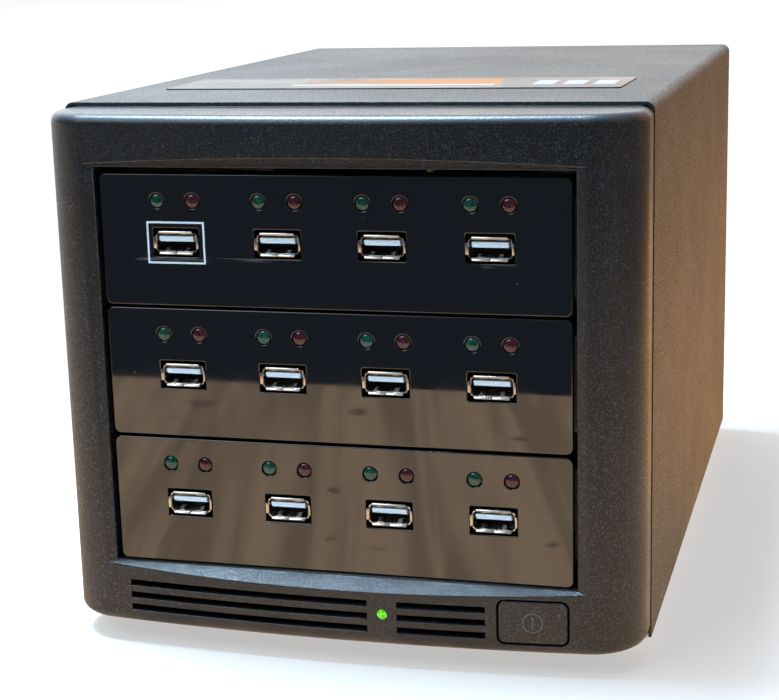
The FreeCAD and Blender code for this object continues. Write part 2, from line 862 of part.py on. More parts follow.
def tray_screws():
    """One screw through each side of the cage into each tray."""
    x = bay_width / 2 + bay_slip + sheet
    return [hex_screw(side * x, tray_screw_y, tray_low(bay) + tray_wall_height / 2, X * -side)
            for bay in bays for side in (-1, 1)]


# ---- Power supply --------------------------------------------------------------------

def psu_case():
    """The steel box of the power supply, open behind its fan, its inlet and its switch."""
    y0, y1 = psu_y, panel_in
    inner = psu_half - psu_wall
    hollow = block(-inner, inner, y0 + psu_wall, y1 - psu_wall, psu_low + psu_wall, psu_top - psu_wall)
    box = block(-psu_half, psu_half, y0, y1, psu_low, psu_top).cut(hollow)
    wall = y1 - psu_wall
    cuts = grille_slots(psu_fan_x, psu_mid_z, psu_fan_side / 2 - psu_window, psu_slot, psu_slot_pitch,
                        wall, y1)
    cuts.append(block_at(inlet_x, inlet_z, inlet_cut, wall, y1))
    cuts.append(block_at(inlet_x, rocker_z, rocker_cut, wall, y1))
    cuts += [screw_hole(x, wall, z, psu_wall) for x, z in psu_screws]
    for i in range(psu_vents):
        x = (i - (psu_vents - 1) / 2) * psu_vent_pitch
        cuts.append(block_at(x, psu_mid_z, (psu_slot, psu_height / 2), y0, y0 + psu_wall))
    return box.cut(cuts)


def psu_board():
    """The supply's circuit board with its finned heat sinks, transformer and capacitors."""
    half = psu_half - 2 * psu_wall
    z0 = psu_low + psu_board_raise
    top = z0 + board_wall
    y0 = psu_y + 2 * psu_wall
    y1 = panel_in - psu_wall - inlet_body - inlet_pin_tail - 2 * psu_wall
    depth = y1 - y0
    parts = [block(-half, half, y0, y1, z0, top)]
    ya, yb = y0 + sink_span[0] * depth, y0 + sink_span[1] * depth
    for x in (-half / 2, half / 2):
        web = block(x, x + sink_wall, ya, yb, top, top + sink_height)
        fins = []
        for i in range(fin_count):
            z = top + sink_height - (i + 1) * fin_pitch
            fins.append(block(x - fin_reach, x + sink_wall + fin_reach, ya, yb, z, z + fin_wall))
        parts.append(fuse([web] + fins))
    wide, high = transformer_size
    ya, yb = y0 + transformer_span[0] * depth, y0 + transformer_span[1] * depth
    parts.append(block(-wide / 2, wide / 2, ya, yb, top, top + high))
    x, y = half - capacitor_inset, y0 + capacitor_place * depth
    parts += [bar(side * x, y, top, capacitor_radius, capacitor_height, Z) for side in (-1, 1)]
    legs = [bar(x, y, psu_low + psu_wall, 2 * psu_wall, z0 - psu_low - psu_wall, Z, small_sides)
            for x, y in four_corners(0, (y0 + y1) / 2, half - psu_window, depth / 2 - psu_window)]
    return parts + legs


def power_inlet():
    """The three-pole mains inlet: a flanged body with a keyed cavity and slots for its pins."""
    y1 = panel_in + inlet_flange_wall
    body = block_at(inlet_x, inlet_z, inlet_cut, panel_in - inlet_body, panel_in)
    flange = rounded(block_at(inlet_x, inlet_z, inlet_flange, panel_in, y1), inlet_corner)
    w, h = inlet_cavity[0] / 2, inlet_cavity[1] / 2
    key = w / 3
    corners = [(-w, -h), (w, -h), (w, h - key), (w - key, h), (key - w, h), (-w, h - key)]
    cavity = prism_y([(inlet_x + a, inlet_z + b) for a, b in corners], y1 - inlet_cavity_depth, y1)
    pins = [block_at(x, z, inlet_pin, panel_in - inlet_body, y1) for x, z in inlet_pin_places()]
    return fuse([body, flange]).cut([cavity] + pins)


def inlet_pin_places():
    line = [(inlet_x + side * inlet_pin_spread, inlet_z) for side in (-1, 1)]
    return line + [(inlet_x, inlet_z + inlet_earth_raise)]


def inlet_pins():
    """Two line pins and the earth pin, with tails behind the body."""
    floor = panel_in + inlet_flange_wall - inlet_cavity_depth
    back = panel_in - inlet_body - inlet_pin_tail
    return [block_at(x, z, inlet_pin, back, floor + inlet_pin_length) for x, z in inlet_pin_places()]


def rocker_frame():
    """The frame of the supply's mains switch, with bearings for the rocker's pins."""
    y1 = panel_in + 2 * psu_wall
    body = block_at(inlet_x, rocker_z, rocker_cut, panel_in - rocker_body, panel_in)
    flange = block_at(inlet_x, rocker_z, rocker_flange, panel_in, y1)
    inner = (rocker_width + 4 * running, rocker_length + 2 * rocker_well_gap)
    well = block_at(inlet_x, rocker_z, inner, panel_in - rocker_body + psu_wall, y1)
    reach = rocker_width / 2 + rocker_pin_length + rocker_shoulder_gap
    bearing = running_bar(inlet_x - reach, panel_in, rocker_z, rocker_pin, 2 * reach, X)
    return fuse([body, flange]).cut([well, bearing])


def power_rocker():
    """The rocker: a dished bar that tips on two pins."""
    x0 = inlet_x - rocker_width / 2
    half = rocker_length / 2
    side_view = [(-rocker_belly, 0), (rocker_shoulder, rocker_shoulder_gap - half),
                 (rocker_rise, rocker_end_gap - half), (rocker_rise - rocker_dish, 0),
                 (rocker_rise, half - rocker_end_gap), (rocker_shoulder, half - rocker_shoulder_gap)]
    face = flat_face([Vector(x0, panel_in + out, rocker_z + up) for out, up in side_view])
    reach = rocker_width / 2 + rocker_pin_length
    pins = bar(inlet_x - reach, panel_in, rocker_z, rocker_pin, 2 * reach, X)
    return fuse([face.extrude(X * rocker_width), pins])


# ---- Fans ----------------------------------------------------------------------------

def fan_frame(x, z, side, depth, back, bore, screws):
    """A square fan frame bored for the blades, with a motor mount on four arms at the back."""
    y0 = back - depth
    flange = min(fan_flange, depth / 4)
    frame = block_at(x, z, (side, side), y0, back)
    frame = frame.makeChamfer(fan_corner, edges_along(frame, Y))
    cuts = [bar(x, y0, z, bore, depth, Y, ring_sides)]
    cuts += [bar(px, y0, pz, fan_screw, depth, Y, small_sides) for px, pz in screws]
    frame = frame.cut(cuts)
    hub = bar(x, back - flange, z, hub_radius(bore), flange)
    arms = [block_at(x, z, (2 * bore, flange), back - flange, back),
            block_at(x, z, (flange, 2 * bore), back - flange, back)]
    post = bar(x, back - depth / 2, z, 2 * fan_axle, depth / 2)
    bearing = running_bar(x, back - depth / 2, z, fan_axle, depth / 2)
    return fuse([frame, hub, post] + arms).cut(bearing)


def hub_radius(bore):
    return fan_hub * bore / fan_bore


def fan_rotor(x, z, depth, back, bore):
    """A cupped hub with an axle and pitched blades."""
    flange = min(fan_flange, depth / 4)
    y0, y1 = back - depth + sheet, back - flange - fan_tip_gap / 2
    radius = hub_radius(bore)
    hub = bar(x, y0, z, radius, y1 - y0, Y, ring_sides)
    cup = bar(x, y0 + fan_blade_wall, z, radius - fan_cup_wall, y1 - y0)
    axle = bar(x, y0, z, fan_axle, back - flange / 2 - y0)
    blades = [fan_blade(x, z, (y0 + y1) / 2, y1 - y0, bore, 360.0 * i / fan_blades)
              for i in range(fan_blades)]
    return fuse([hub.cut(cup), axle] + blades)


def fan_blade(x, z, middle, depth, bore, turn):
    """One flat blade, pitched about its own length and narrower at the hub."""
    pitch = math.radians(fan_blade_pitch)
    wide = (depth / 2 - fan_blade_wall) / math.sin(pitch)
    narrow = wide * fan_blade_taper
    inside, outside = hub_radius(bore), bore * math.cos(math.pi / ring_sides) - fan_tip_gap
    root = math.sqrt(inside ** 2 - (narrow * math.cos(pitch)) ** 2) - sheet
    tip = math.sqrt(outside ** 2 - (wide * math.cos(pitch) + fan_blade_wall / 2) ** 2)
    half = fan_blade_wall / 2
    points = [Vector(-narrow, -half, root), Vector(narrow, -half, root), Vector(wide, -half, tip),
              Vector(-wide, -half, tip)]
    blade = flat_face(points).extrude(Vector(0, fan_blade_wall, 0))
    blade.rotate(Vector(0, 0, 0), Z, fan_blade_pitch)
    blade.rotate(Vector(0, 0, 0), Y, turn)
    blade.translate(Vector(x, middle, z))
    return blade


# ---- Controller ----------------------------------------------------------------------

def controller_board():
    """The board that copies: it lies on the floor's stand-offs under the lowest bay."""
    half = controller_size[0] / 2
    return block(-half, half, controller_y, controller_back, controller_low, controller_low + board_wall)


def controller_parts():
    """Processor with its heat sink, memory, a header for each bay and the power header."""
    low = controller_low + board_wall
    middle = (controller_y + controller_back) / 2

    def standing(x, y, size, z0, z1):
        return block(x - size[0] / 2, x + size[0] / 2, y - size[1] / 2, y + size[1] / 2, z0, z1)

    side = (processor_side, processor_side)
    sink_low = low + processor_wall
    fin_low = sink_low + fin_wall
    parts = [standing(0, middle, side, low, sink_low)]
    sink = [standing(0, middle, side, sink_low, fin_low)]
    spread = (processor_side - header_wall) / (processor_fins - 1)
    for i in range(processor_fins):
        x = (i - (processor_fins - 1) / 2) * spread
        fin = (header_wall, processor_side)
        sink.append(standing(x, middle, fin, fin_low, sink_low + processor_fin_height))
    parts.append(fuse(sink))
    parts += [standing(x, middle, memory_size, low, low + chip_wall) for x in memory_x]
    front = controller_y + header_margin + bay_header_size[1] / 2
    parts += [standing(x, front, bay_header_size, low, low + bay_header_height) for x in bay_header_x]
    x = controller_size[0] / 2 - header_margin - power_header_size[0] / 2
    y = controller_back - header_margin - power_header_size[1] / 2
    parts.append(standing(x, y, power_header_size, low, low + header_height))
    return parts


# ---- The nodes -----------------------------------------------------------------------

def screws_at(places, y):
    return [hex_screw(x, y, z, -Y) for x, z in places]


nodes = {
    "outer_cover": outer_cover(),
    "base_pan": base_pan(),
    "front_frame": front_frame(),
    "rear_panel": rear_panel(),
    "rubber_feet": rubber_feet(),
    "top_label": top_label(),
    "front_bezel": front_bezel(),
    "power_button": power_button(),
    "power_switch": power_switch(),
    "power_light": power_light(),
    "bay_cage": bay_cage(),
    "tray_screws": tray_screws(),
    "psu_case": psu_case(),
    "psu_board": psu_board(),
    "psu_fan_frame": fan_frame(psu_fan_x, psu_mid_z, psu_fan_side, psu_fan_depth, panel_in - psu_wall,
                               psu_fan_bore, psu_fan_holes),
    "psu_fan_rotor": fan_rotor(psu_fan_x, psu_mid_z, psu_fan_depth, panel_in - psu_wall, psu_fan_bore),
    "power_inlet": power_inlet(),
    "inlet_pins": inlet_pins(),
    "rocker_frame": rocker_frame(),
    "power_rocker": power_rocker(),
    "case_fan_frame": fan_frame(0, fan_z, fan_side, fan_depth, panel_in, fan_bore, fan_screws),
    "case_fan_rotor": fan_rotor(0, fan_z, fan_depth, panel_in, fan_bore),
    "controller_board": controller_board(),
    "controller_parts": controller_parts(),
    "cover_screws": screws_at(cover_screws, case_back),
    "fan_screws": screws_at(fan_screws, panel_out),
    "psu_screws": screws_at(psu_screws, panel_out),
}
for bay in bays:
    name = bay_names[bay]
    nodes["bay_tray_" + name] = bay_tray(bay)
    nodes["port_panel_" + name] = port_panel(bay)
    nodes["port_board_" + name] = port_board(bay)
    nodes["usb_shells_" + name] = usb_shells(bay)
    nodes["usb_tongues_" + name] = usb_tongues(bay)
    nodes["green_leds_" + name] = port_leds(bay, -1)
    nodes["red_leds_" + name] = port_leds(bay, 1)

os.makedirs("parts", exist_ok=True)
for name, shape in nodes.items():
    solids = shape if isinstance(shape, list) else [shape]
    whole = [solid for item in solids for solid in item.Solids]
    made = whole[0] if len(whole) == 1 else Part.makeCompound(whole)
    made.exportStep("parts/" + name + ".step")
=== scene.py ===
"""Looks for a three-bay USB stick duplicator, laid out as an add-on and run as a script.

The packed frame gives every place. Lengths are in metres, with X to the right seen from
the front, Y to the back and Z up.
"""

import json
import math
from contextlib import contextmanager

import bmesh
import bpy
from mathutils import Matrix, Vector
from mathutils.bvhtree import BVHTree


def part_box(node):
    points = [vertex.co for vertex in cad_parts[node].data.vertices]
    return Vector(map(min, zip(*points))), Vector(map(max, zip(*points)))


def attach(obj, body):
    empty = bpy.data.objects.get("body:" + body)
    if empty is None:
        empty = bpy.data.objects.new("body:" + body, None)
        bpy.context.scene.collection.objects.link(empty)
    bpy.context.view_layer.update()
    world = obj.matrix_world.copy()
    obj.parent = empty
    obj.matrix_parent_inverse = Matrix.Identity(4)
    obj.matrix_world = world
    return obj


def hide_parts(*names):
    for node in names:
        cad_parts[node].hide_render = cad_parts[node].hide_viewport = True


bl_info = {
    "name": "Stick duplicator looks",
    "version": (1, 0, 0),
    "blender": (4, 5, 0),
    "location": "3D View > Sidebar > Duplicator",
    "description": "Dresses the packed frame of a three-bay USB stick duplicator",
    "category": "Object",
}

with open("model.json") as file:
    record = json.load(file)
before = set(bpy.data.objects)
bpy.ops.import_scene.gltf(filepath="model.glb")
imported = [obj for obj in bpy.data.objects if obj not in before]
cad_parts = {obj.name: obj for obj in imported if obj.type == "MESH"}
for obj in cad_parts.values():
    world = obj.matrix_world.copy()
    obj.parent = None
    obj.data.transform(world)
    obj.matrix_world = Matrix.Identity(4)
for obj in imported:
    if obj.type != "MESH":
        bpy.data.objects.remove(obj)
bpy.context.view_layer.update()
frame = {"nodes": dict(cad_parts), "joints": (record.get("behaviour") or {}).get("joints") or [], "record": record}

MM = 0.001
BAYS = ("bottom", "middle", "top")
CHASSIS = "chassis"
effects = {}
finishes = {}
trees = {}


# ---- Places that the frame gives ----

def middle_of(node):
    low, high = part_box(node)
    return (low + high) / 2


PANEL_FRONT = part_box("port_panel_top")[0].y
PORT_MOUNTS = {bay: [Vector(mount["pos_m"]) for mount in frame["record"]["mounts"]
                     if mount["name"].startswith(f"usb_port_{bay}_")] for bay in BAYS}
LED_SPREAD = (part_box("red_leds_top")[0].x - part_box("green_leds_top")[0].x) / 2


def port_row(bay):
    """(count, first centre, pitch, middle height, mouth Y) of a bay's ports."""
    low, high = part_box(f"usb_shells_{bay}")
    ports = PORT_MOUNTS[bay]
    pitch = (ports[-1].x - ports[0].x) / (len(ports) - 1)
    return len(ports), ports[0].x, pitch, (low.z + high.z) / 2, low.y


# ---- Settings ----

def length(name, description, millimetres):
    return bpy.props.FloatProperty(name=name, description=description, min=0.0, precision=5,
                                   default=millimetres * MM, unit="LENGTH", subtype="DISTANCE")


def angle(name, description, degrees):
    return bpy.props.FloatProperty(name=name, description=description,
                                   default=math.radians(degrees), subtype="ANGLE")


def colour(name, description, *default):
    return bpy.props.FloatVectorProperty(name=name, description=description, default=default,
                                         size=3, min=0.0, max=1.0, subtype="COLOR")


class DUPLICATOR_PG_sizes(bpy.types.PropertyGroup):
    """Sizes of the moulded and stamped details."""

    panel_wall: length("Panel wall", "Thickness of a gloss port panel", 3.0)
    panel_corner: length("Panel corner", "Corner radius of a port panel", 2.0)
    panel_edge: length("Panel edge", "Rounding of a port panel's edges", 0.3)
    port_cut_width: length("Port cut width", "Width of a port's cut-out", 15.0)
    port_cut_height: length("Port cut height", "Height of a port's cut-out", 9.0)
    light_hole: length("Light hole", "Radius of an indicator's hole", 2.4)
    light_radius: length("Light radius", "Radius of an indicator lens", 2.2)
    shell_width: length("Shell width", "Outside width of a port's shell", 13.3)
    shell_height: length("Shell height", "Outside height of a port's shell", 5.9)
    shell_wall: length("Shell wall", "Thickness of a port's sheet metal", 0.32)
    shell_corner: length("Shell corner", "Outside corner radius of a shell", 0.8)
    flare_depth: length("Flare depth", "How far back the flared lips start", 1.0)
    flare_rise: length("Flare rise", "How far the flared lips stand out", 0.75)
    tongue_width: length("Tongue width", "Width of a port's tongue", 11.1)
    tongue_height: length("Tongue height", "Thickness of a port's tongue", 1.84)
    tongue_raise: length("Tongue raise", "Tongue's middle above the port's", 1.1)
    contact_width: length("Contact width", "Width of a spring contact", 1.0)
    contact_pitch: length("Contact pitch", "Spacing of the contacts", 2.3)
    moulded_edge: length("Moulded edge", "Rounding of moulded edges", 0.22)
    folded_edge: length("Folded edge", "Rounding of sheet metal edges", 0.15)
    fitting_edge: length("Fitting edge", "Rounding of small fittings", 0.2)
    button_edge: length("Button edge", "Rounding of the power button", 0.3)
    icon_radius: length("Icon radius", "Radius of the power symbol", 3.2)
    icon_stroke: length("Icon stroke", "Line width of the power symbol", 0.36)


class DUPLICATOR_PG_colours(bpy.types.PropertyGroup):
    """Base colours of the finishes."""

    powder: colour("Powder coat", "Textured paint of the cover", 0.021, 0.0195, 0.0185)
    bezel: colour("Bezel plastic", "Grained plastic of the bezel", 0.012, 0.0145, 0.0185)
    panel: colour("Gloss panel", "High-gloss black of the port panels", 0.0045, 0.005, 0.0055)
    nickel: colour("Nickel", "Plating of the port shells", 0.72, 0.69, 0.64)
    tongue: colour("Tongue", "Insulator inside a port", 0.66, 0.70, 0.72)
    green: colour("Green lens", "Unlit green indicator", 0.003, 0.034, 0.022)
    red: colour("Red lens", "Unlit red indicator", 0.034, 0.005, 0.009)
    lit: colour("Power light", "Glow of the power light", 0.16, 0.85, 0.02)
    zinc: colour("Zinc", "Plated sheet steel", 0.52, 0.54, 0.56)
    board: colour("Circuit board", "Solder mask", 0.012, 0.09, 0.035)
    stripe: colour("Label stripe", "Printed stripe of the top label", 0.38, 0.115, 0.018)
    label: colour("Label", "Ground of the top label", 0.012, 0.015, 0.02)


class DUPLICATOR_PG_fans(bpy.types.PropertyGroup):
    """Shape of the two fans' blades."""

    blades: bpy.props.IntProperty(name="Blades", description="Blades on each rotor",
                                  default=7, min=3, max=15)
    sweep: angle("Sweep", "How far a blade's tip leads its root", 24)
    root_pitch: angle("Root pitch", "Lean of a blade from the axis at its root", 42)
    tip_pitch: angle("Tip pitch", "Lean of a blade from the axis at its tip", 63)
    blade_wall: length("Blade wall", "Thickness of a blade", 1.3)


class DUPLICATOR_PG_stage(bpy.types.PropertyGroup):
    """Camera and floor."""

    lens: bpy.props.FloatProperty(name="Lens", description="Focal length on a 36 mm sensor",
                                  default=81.78, subtype="DISTANCE_CAMERA")
    camera_place: bpy.props.FloatVectorProperty(
        name="Camera", description="Where the camera stands",
        default=(0.1583, -0.6447, 0.2223), subtype="TRANSLATION", unit="LENGTH")
    yaw: angle("Yaw", "Camera's turn from +Y to +X", -15.58)
    pitch: angle("Pitch", "Camera's tilt above the level", -13.10)
    roll: angle("Roll", "Camera's roll", -1.55)
    floor: colour("Floor", "Pale floor", 0.86, 0.835, 0.80)
    backdrop: colour("Backdrop", "What the floor fades to", 0.97, 0.97, 0.97)
    mirrored: colour("Mirrored floor", "Warm tone of the floor in reflections", 0.94, 0.66, 0.43)
    floor_side: length("Floor side", "Length of the floor's sides", 6000.0)
    floor_front: length("Floor front", "How far the floor reaches before the panels", 335.0)


# ---- Node helpers ----

class Nodes:
    """A node tree with shortcuts that add to it."""

    def __init__(self, tree):
        self.tree = tree

    def socket(self, label, side, kind="Float"):
        """A new input or output of a group."""
        return self.tree.interface.new_socket(label.replace("_", " "), in_out=side,
                                              socket_type=f"NodeSocket{kind}")

    def put(self, value, socket):
        """Links a socket to another one, or sets it to a value."""
        if isinstance(value, bpy.types.NodeSocket):
            self.tree.links.new(value, socket)
        elif socket.type == "RGBA":
            socket.default_value = (*value[:3], 1.0)
        else:
            socket.default_value = value

    def add(self, kind, inputs=None, **settings):
        made = self.tree.nodes.new(kind)
        for name, value in settings.items():
            setattr(made, name, value)
        for name, value in (inputs or {}).items():
            self.put(value, made.inputs[name])
        return made

    def use(self, effect, **values):
        """The outputs of a shared effect."""
        inputs = {name.replace("_", " "): value for name, value in values.items()}
        return self.add("ShaderNodeGroup", inputs, node_tree=effects[effect]).outputs

    def math(self, operation, first, second=0.0, clamp=False):
        return self.add("ShaderNodeMath", {0: first, 1: second},
                        operation=operation, use_clamp=clamp).outputs[0]

    def times(self, first, second, clamp=False):
        return self.math("MULTIPLY", first, second, clamp)

    def plus(self, first, second, clamp=False):
        return self.math("ADD", first, second, clamp)

    def ramp(self, value, low, high, to_low=0.0, to_high=1.0, kind="SMOOTHSTEP"):
        """A value taken from one range to another."""
        return self.add("ShaderNodeMapRange",
                        {"Value": value, "From Min": low, "From Max": high,
                         "To Min": to_low, "To Max": to_high}, interpolation_type=kind).outputs[0]

    def mix(self, factor, first, second):
        """A blend of two colours, which are the node's sockets 6 and 7."""
        return self.add("ShaderNodeMix", {0: factor, 6: first, 7: second},
                        data_type="RGBA").outputs[2]

    def split(self, vector):
        """The X, Y and Z of a vector."""
        return self.add("ShaderNodeSeparateXYZ", {0: vector}).outputs

    def stretched(self, vector, *scale):
        return self.add("ShaderNodeMapping", {"Vector": vector, "Scale": scale}).outputs[0]

    def place(self):
        """Object coordinates."""
        return self.add("ShaderNodeTexCoord").outputs["Object"]

    def noise(self, scale, detail=2.0, vector=None, **more):
        """Soft noise, in object coordinates unless a vector is given."""
        inputs = {"Vector": vector or self.place(), "Scale": scale, "Detail": detail, **more}
        return self.add("ShaderNodeTexNoise", inputs).outputs["Fac"]

    def cells(self, scale, **settings):
        return self.add("ShaderNodeTexVoronoi", {"Vector": self.place(), "Scale": scale},
                        **settings).outputs

    def chance(self, cells):
        """A random value for each cell."""
        return self.add("ShaderNodeSeparateColor", {0: cells["Color"]}).outputs[0]

    def dots(self, scale, edge, core, share):
        """Round dots, which fade from core to edge, in a share of the cells."""
        cells = self.cells(scale)
        return self.times(self.ramp(cells["Distance"], edge, core),
                          self.math("GREATER_THAN", self.chance(cells), 1.0 - share))


class Effect(Nodes):
    """A shader group with float inputs and outputs, which several finishes share."""

    def __init__(self, name, **inputs):
        super().__init__(bpy.data.node_groups.new(name, "ShaderNodeTree"))
        for label, default in inputs.items():
            self.socket(label, "INPUT").default_value = default
        self.given = self.tree.nodes.new("NodeGroupInput").outputs

    def give(self, **outputs):
        """Ends the group, with its outputs."""
        for label in outputs:
            self.socket(label, "OUTPUT")
        self.add("NodeGroupOutput", outputs)
        return self.tree


# ---- Effects that several finishes share ----

def grain_effect():
    """Pebbled skin of paint or moulded plastic, with its brighter crests as a mask, which the finishes paint
    lighter as painted glints.
    """
    made = Effect("Pebbled grain", Grains_per_metre=1400.0, Fleck_share=0.35)
    scale = made.given["Grains per metre"]
    coarse = made.noise(scale, Roughness=0.55)
    pebble = made.times(made.cells(scale)["Distance"], -0.6)
    limit = made.math("SUBTRACT", 0.9, made.given["Fleck share"])
    glints = made.times(made.math("SUBTRACT", coarse, limit), 6.0, clamp=True)
    return made.give(Height=made.plus(coarse, pebble), Flecks=glints)


def dust_effect():
    """Settled dust: patches on what faces up, and scattered specks."""
    made = Effect("Settled dust", Amount=0.3, Patches_per_metre=14.0, Specks_per_metre=420.0)
    normal = made.add("ShaderNodeNewGeometry").outputs["Normal"]
    upward = made.ramp(made.split(normal)["Z"], 0.1, 0.9)
    film = made.ramp(made.noise(made.given["Patches per metre"], 5.0), 0.42, 0.7)
    specks = made.dots(made.given["Specks per metre"], 0.22, 0.1, 0.14)
    lying = made.times(made.plus(made.times(film, 0.4), specks, clamp=True), upward)
    return made.give(Mask=made.times(lying, made.given["Amount"], clamp=True))


def handling_effect():
    """Uneven gloss from handling, as a value between two limits."""
    made = Effect("Handling", Patches_per_metre=30.0, Low=0.3, High=0.5)
    smears = made.noise(made.given["Patches per metre"], 6.0, Roughness=0.6, Distortion=0.5)
    return made.give(Roughness=made.ramp(smears, 0.3, 0.7, made.given["Low"],
                                         made.given["High"]))


def edge_effect():
    """Rubbed edges, from how sharply the surface turns, broken up by noise."""
    made = Effect("Rubbed edges", Sharpness=0.56, Amount=0.5)
    sharp = made.given["Sharpness"]
    pointed = made.add("ShaderNodeNewGeometry").outputs["Pointiness"]
    turn = made.ramp(pointed, sharp, made.plus(sharp, 0.1))
    worn = made.times(turn, made.ramp(made.noise(160.0, 4.0), 0.35, 0.65))
    return made.give(Mask=made.times(worn, made.given["Amount"], clamp=True))


def rolled_effect():
    """Long fine lines along X, as rolled or brushed metal has, and a soft spangle."""
    made = Effect("Rolled metal", Lines_per_metre=2600.0)
    along = made.stretched(made.place(), 0.02, 1.0, 1.0)
    lines = made.noise(made.given["Lines per metre"], 3.0, along)
    return made.give(Height=lines, Tone=made.chance(made.cells(240.0)))


# ---- Finishes ----

def tint(base, factor):
    return tuple(min(1.0, channel * factor) for channel in base)


class Finish(Nodes):
    """A material with its Principled shader and shortcuts to feed it."""

    def __init__(self, name, **sockets):
        self.material = bpy.data.materials.new(name)
        self.material.use_nodes = True
        super().__init__(self.material.node_tree)
        self.shader = self.tree.nodes["Principled BSDF"]
        self.feed(**sockets)

    def feed(self, **sockets):
        for label, value in sockets.items():
            self.put(value, self.shader.inputs[label.replace("_", " ")])

    def bump(self, height, strength, distance):
        """Bumps of a height, and the finished material."""
        node = self.add("ShaderNodeBump",
                        {"Height": height, "Strength": strength, "Distance": distance})
        self.feed(Normal=node.outputs[0])
        return self.material

    def masked(self, effect, base, over, **values):
        """A colour laid over a base where an effect's mask is."""
        return self.mix(self.use(effect, **values)["Mask"], base, over)

    def gloss(self, low, high, **values):
        return self.use("handling", Low=low, High=high, **values)["Roughness"]

    def sparkle(self, gloss, glints, depth):
        """Gloss that is duller between the crests of a grain."""
        return self.plus(gloss, self.times(self.math("SUBTRACT", 1.0, glints), depth))


def powder_coat(colours):
    """Fine-textured black paint with dust, rubbed bends and painted glints on the grain's crests."""
    made = Finish("Powder coat", Specular_IOR_Level=0.62)
    grain = made.use("grain", Grains_per_metre=1250.0, Fleck_share=0.42)
    # The grain is real; its crests are painted lighter as painted glints.
    base = made.mix(grain["Flecks"], tint(colours.powder, 0.5), tint(colours.powder, 2.6))
    base = made.masked("edge", base, (0.09, 0.085, 0.08), Amount=0.25)
    base = made.masked("dust", base, (0.33, 0.30, 0.27), Amount=0.22, Patches_per_metre=11.0)
    gloss = made.gloss(0.4, 0.46, Patches_per_metre=24.0)
    made.feed(Base_Color=base, Roughness=made.sparkle(gloss, grain["Flecks"], 0.16))
    return made.bump(grain["Height"], 0.8, 0.07 * MM)


def bezel_plastic(colours):
    """Charcoal moulded plastic with a fine grain, whose crests carry painted glints."""
    made = Finish("Bezel plastic", Specular_IOR_Level=0.7)
    grain = made.use("grain", Grains_per_metre=1700.0, Fleck_share=0.38)
    # The grain is real; its crests are painted lighter as painted glints.
    base = made.mix(grain["Flecks"], tint(colours.bezel, 0.4), tint(colours.bezel, 3.6))
    base = made.masked("edge", base, (0.07, 0.075, 0.085), Amount=0.12)
    base = made.masked("dust", base, (0.20, 0.21, 0.23), Amount=0.35, Specks_per_metre=700.0)
    gloss = made.gloss(0.2, 0.26)
    made.feed(Base_Color=base, Roughness=made.sparkle(gloss, grain["Flecks"], 0.2))
    return made.bump(grain["Height"], 0.8, 0.04 * MM)


def gloss_panel(colours):
    """Mirror-gloss black plastic, slightly wavy, with two light level streaks and a few motes."""
    made = Finish("Gloss panel", Specular_IOR_Level=1.0, IOR=1.6)
    hairs = made.noise(1500.0, 2.0, made.stretched(made.place(), 0.06, 1.0, 1.0))
    # Two light level streaks below the top row of ports, broken into fine lines.
    streak = made.times(light_level_streaks(made), made.ramp(hairs, 0.45, 0.62))
    motes = made.dots(170.0, 0.05, 0.03, 0.3)
    marks = made.plus(made.times(streak, 0.55), made.times(motes, 0.5), clamp=True)
    gloss = made.gloss(0.012, 0.05, Patches_per_metre=60.0)
    made.feed(Base_Color=made.mix(marks, colours.panel, (0.16, 0.155, 0.145)),
              Roughness=made.plus(gloss, made.times(marks, 0.4)))
    return made.bump(made.noise(45.0, 1.0), 0.05, 0.4 * MM)


def light_level_streaks(made):
    """Two level streaks below the top row of ports."""
    here = made.split(made.place())
    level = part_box("usb_shells_top")[0].z - 1.4 * MM
    drop = made.math("ABSOLUTE", made.math("SUBTRACT", here["Z"], level))
    spans = [made.times(made.ramp(here["X"], start * MM, (start + 2) * MM),
                        made.ramp(here["X"], end * MM, (end - 12) * MM))
             for start, end in ((-64, -16), (46, 62))]
    band = made.ramp(drop, 0.75 * MM, 0.35 * MM)
    return made.times(band, made.plus(*spans, clamp=True))


def plated(name, base, rough):
    """Bright plated metal with faint die lines."""
    made = Finish(name, Metallic=1.0)
    rolled = made.use("rolled", Lines_per_metre=3200.0)
    made.feed(Base_Color=made.mix(rolled["Tone"], tint(base, 0.86), base),
              Roughness=made.gloss(rough * 0.7, rough * 1.5, Patches_per_metre=260.0))
    return made.bump(rolled["Height"], 0.08, 0.05 * MM)


def sheet_steel(colours):
    """Zinc-plated sheet with a soft spangle and handling marks."""
    made = Finish("Zinc sheet", Metallic=1.0)
    rolled = made.use("rolled")
    base = made.mix(rolled["Tone"], tint(colours.zinc, 0.93), tint(colours.zinc, 1.03))
    made.feed(Base_Color=made.masked("edge", base, (0.75, 0.76, 0.77), Amount=0.4),
              Roughness=made.gloss(0.3, 0.5, Patches_per_metre=22.0))
    return made.bump(rolled["Height"], 0.12, 0.08 * MM)


def moulded(name, base, low, high, grains=2600.0):
    """Plain moulded plastic: faint grain with faint painted glints on its crests, uneven gloss, a little dust."""
    made = Finish(name)
    grain = made.use("grain", Grains_per_metre=grains)
    # The grain's crests are painted a little lighter: faint painted glints.
    tone = made.mix(grain["Flecks"], base, tint(base, 1.25))
    made.feed(Base_Color=made.masked("dust", tone, (0.3, 0.29, 0.27), Amount=0.25),
              Roughness=made.gloss(low, high))
    return made.bump(grain["Height"], 0.15, 0.08 * MM)


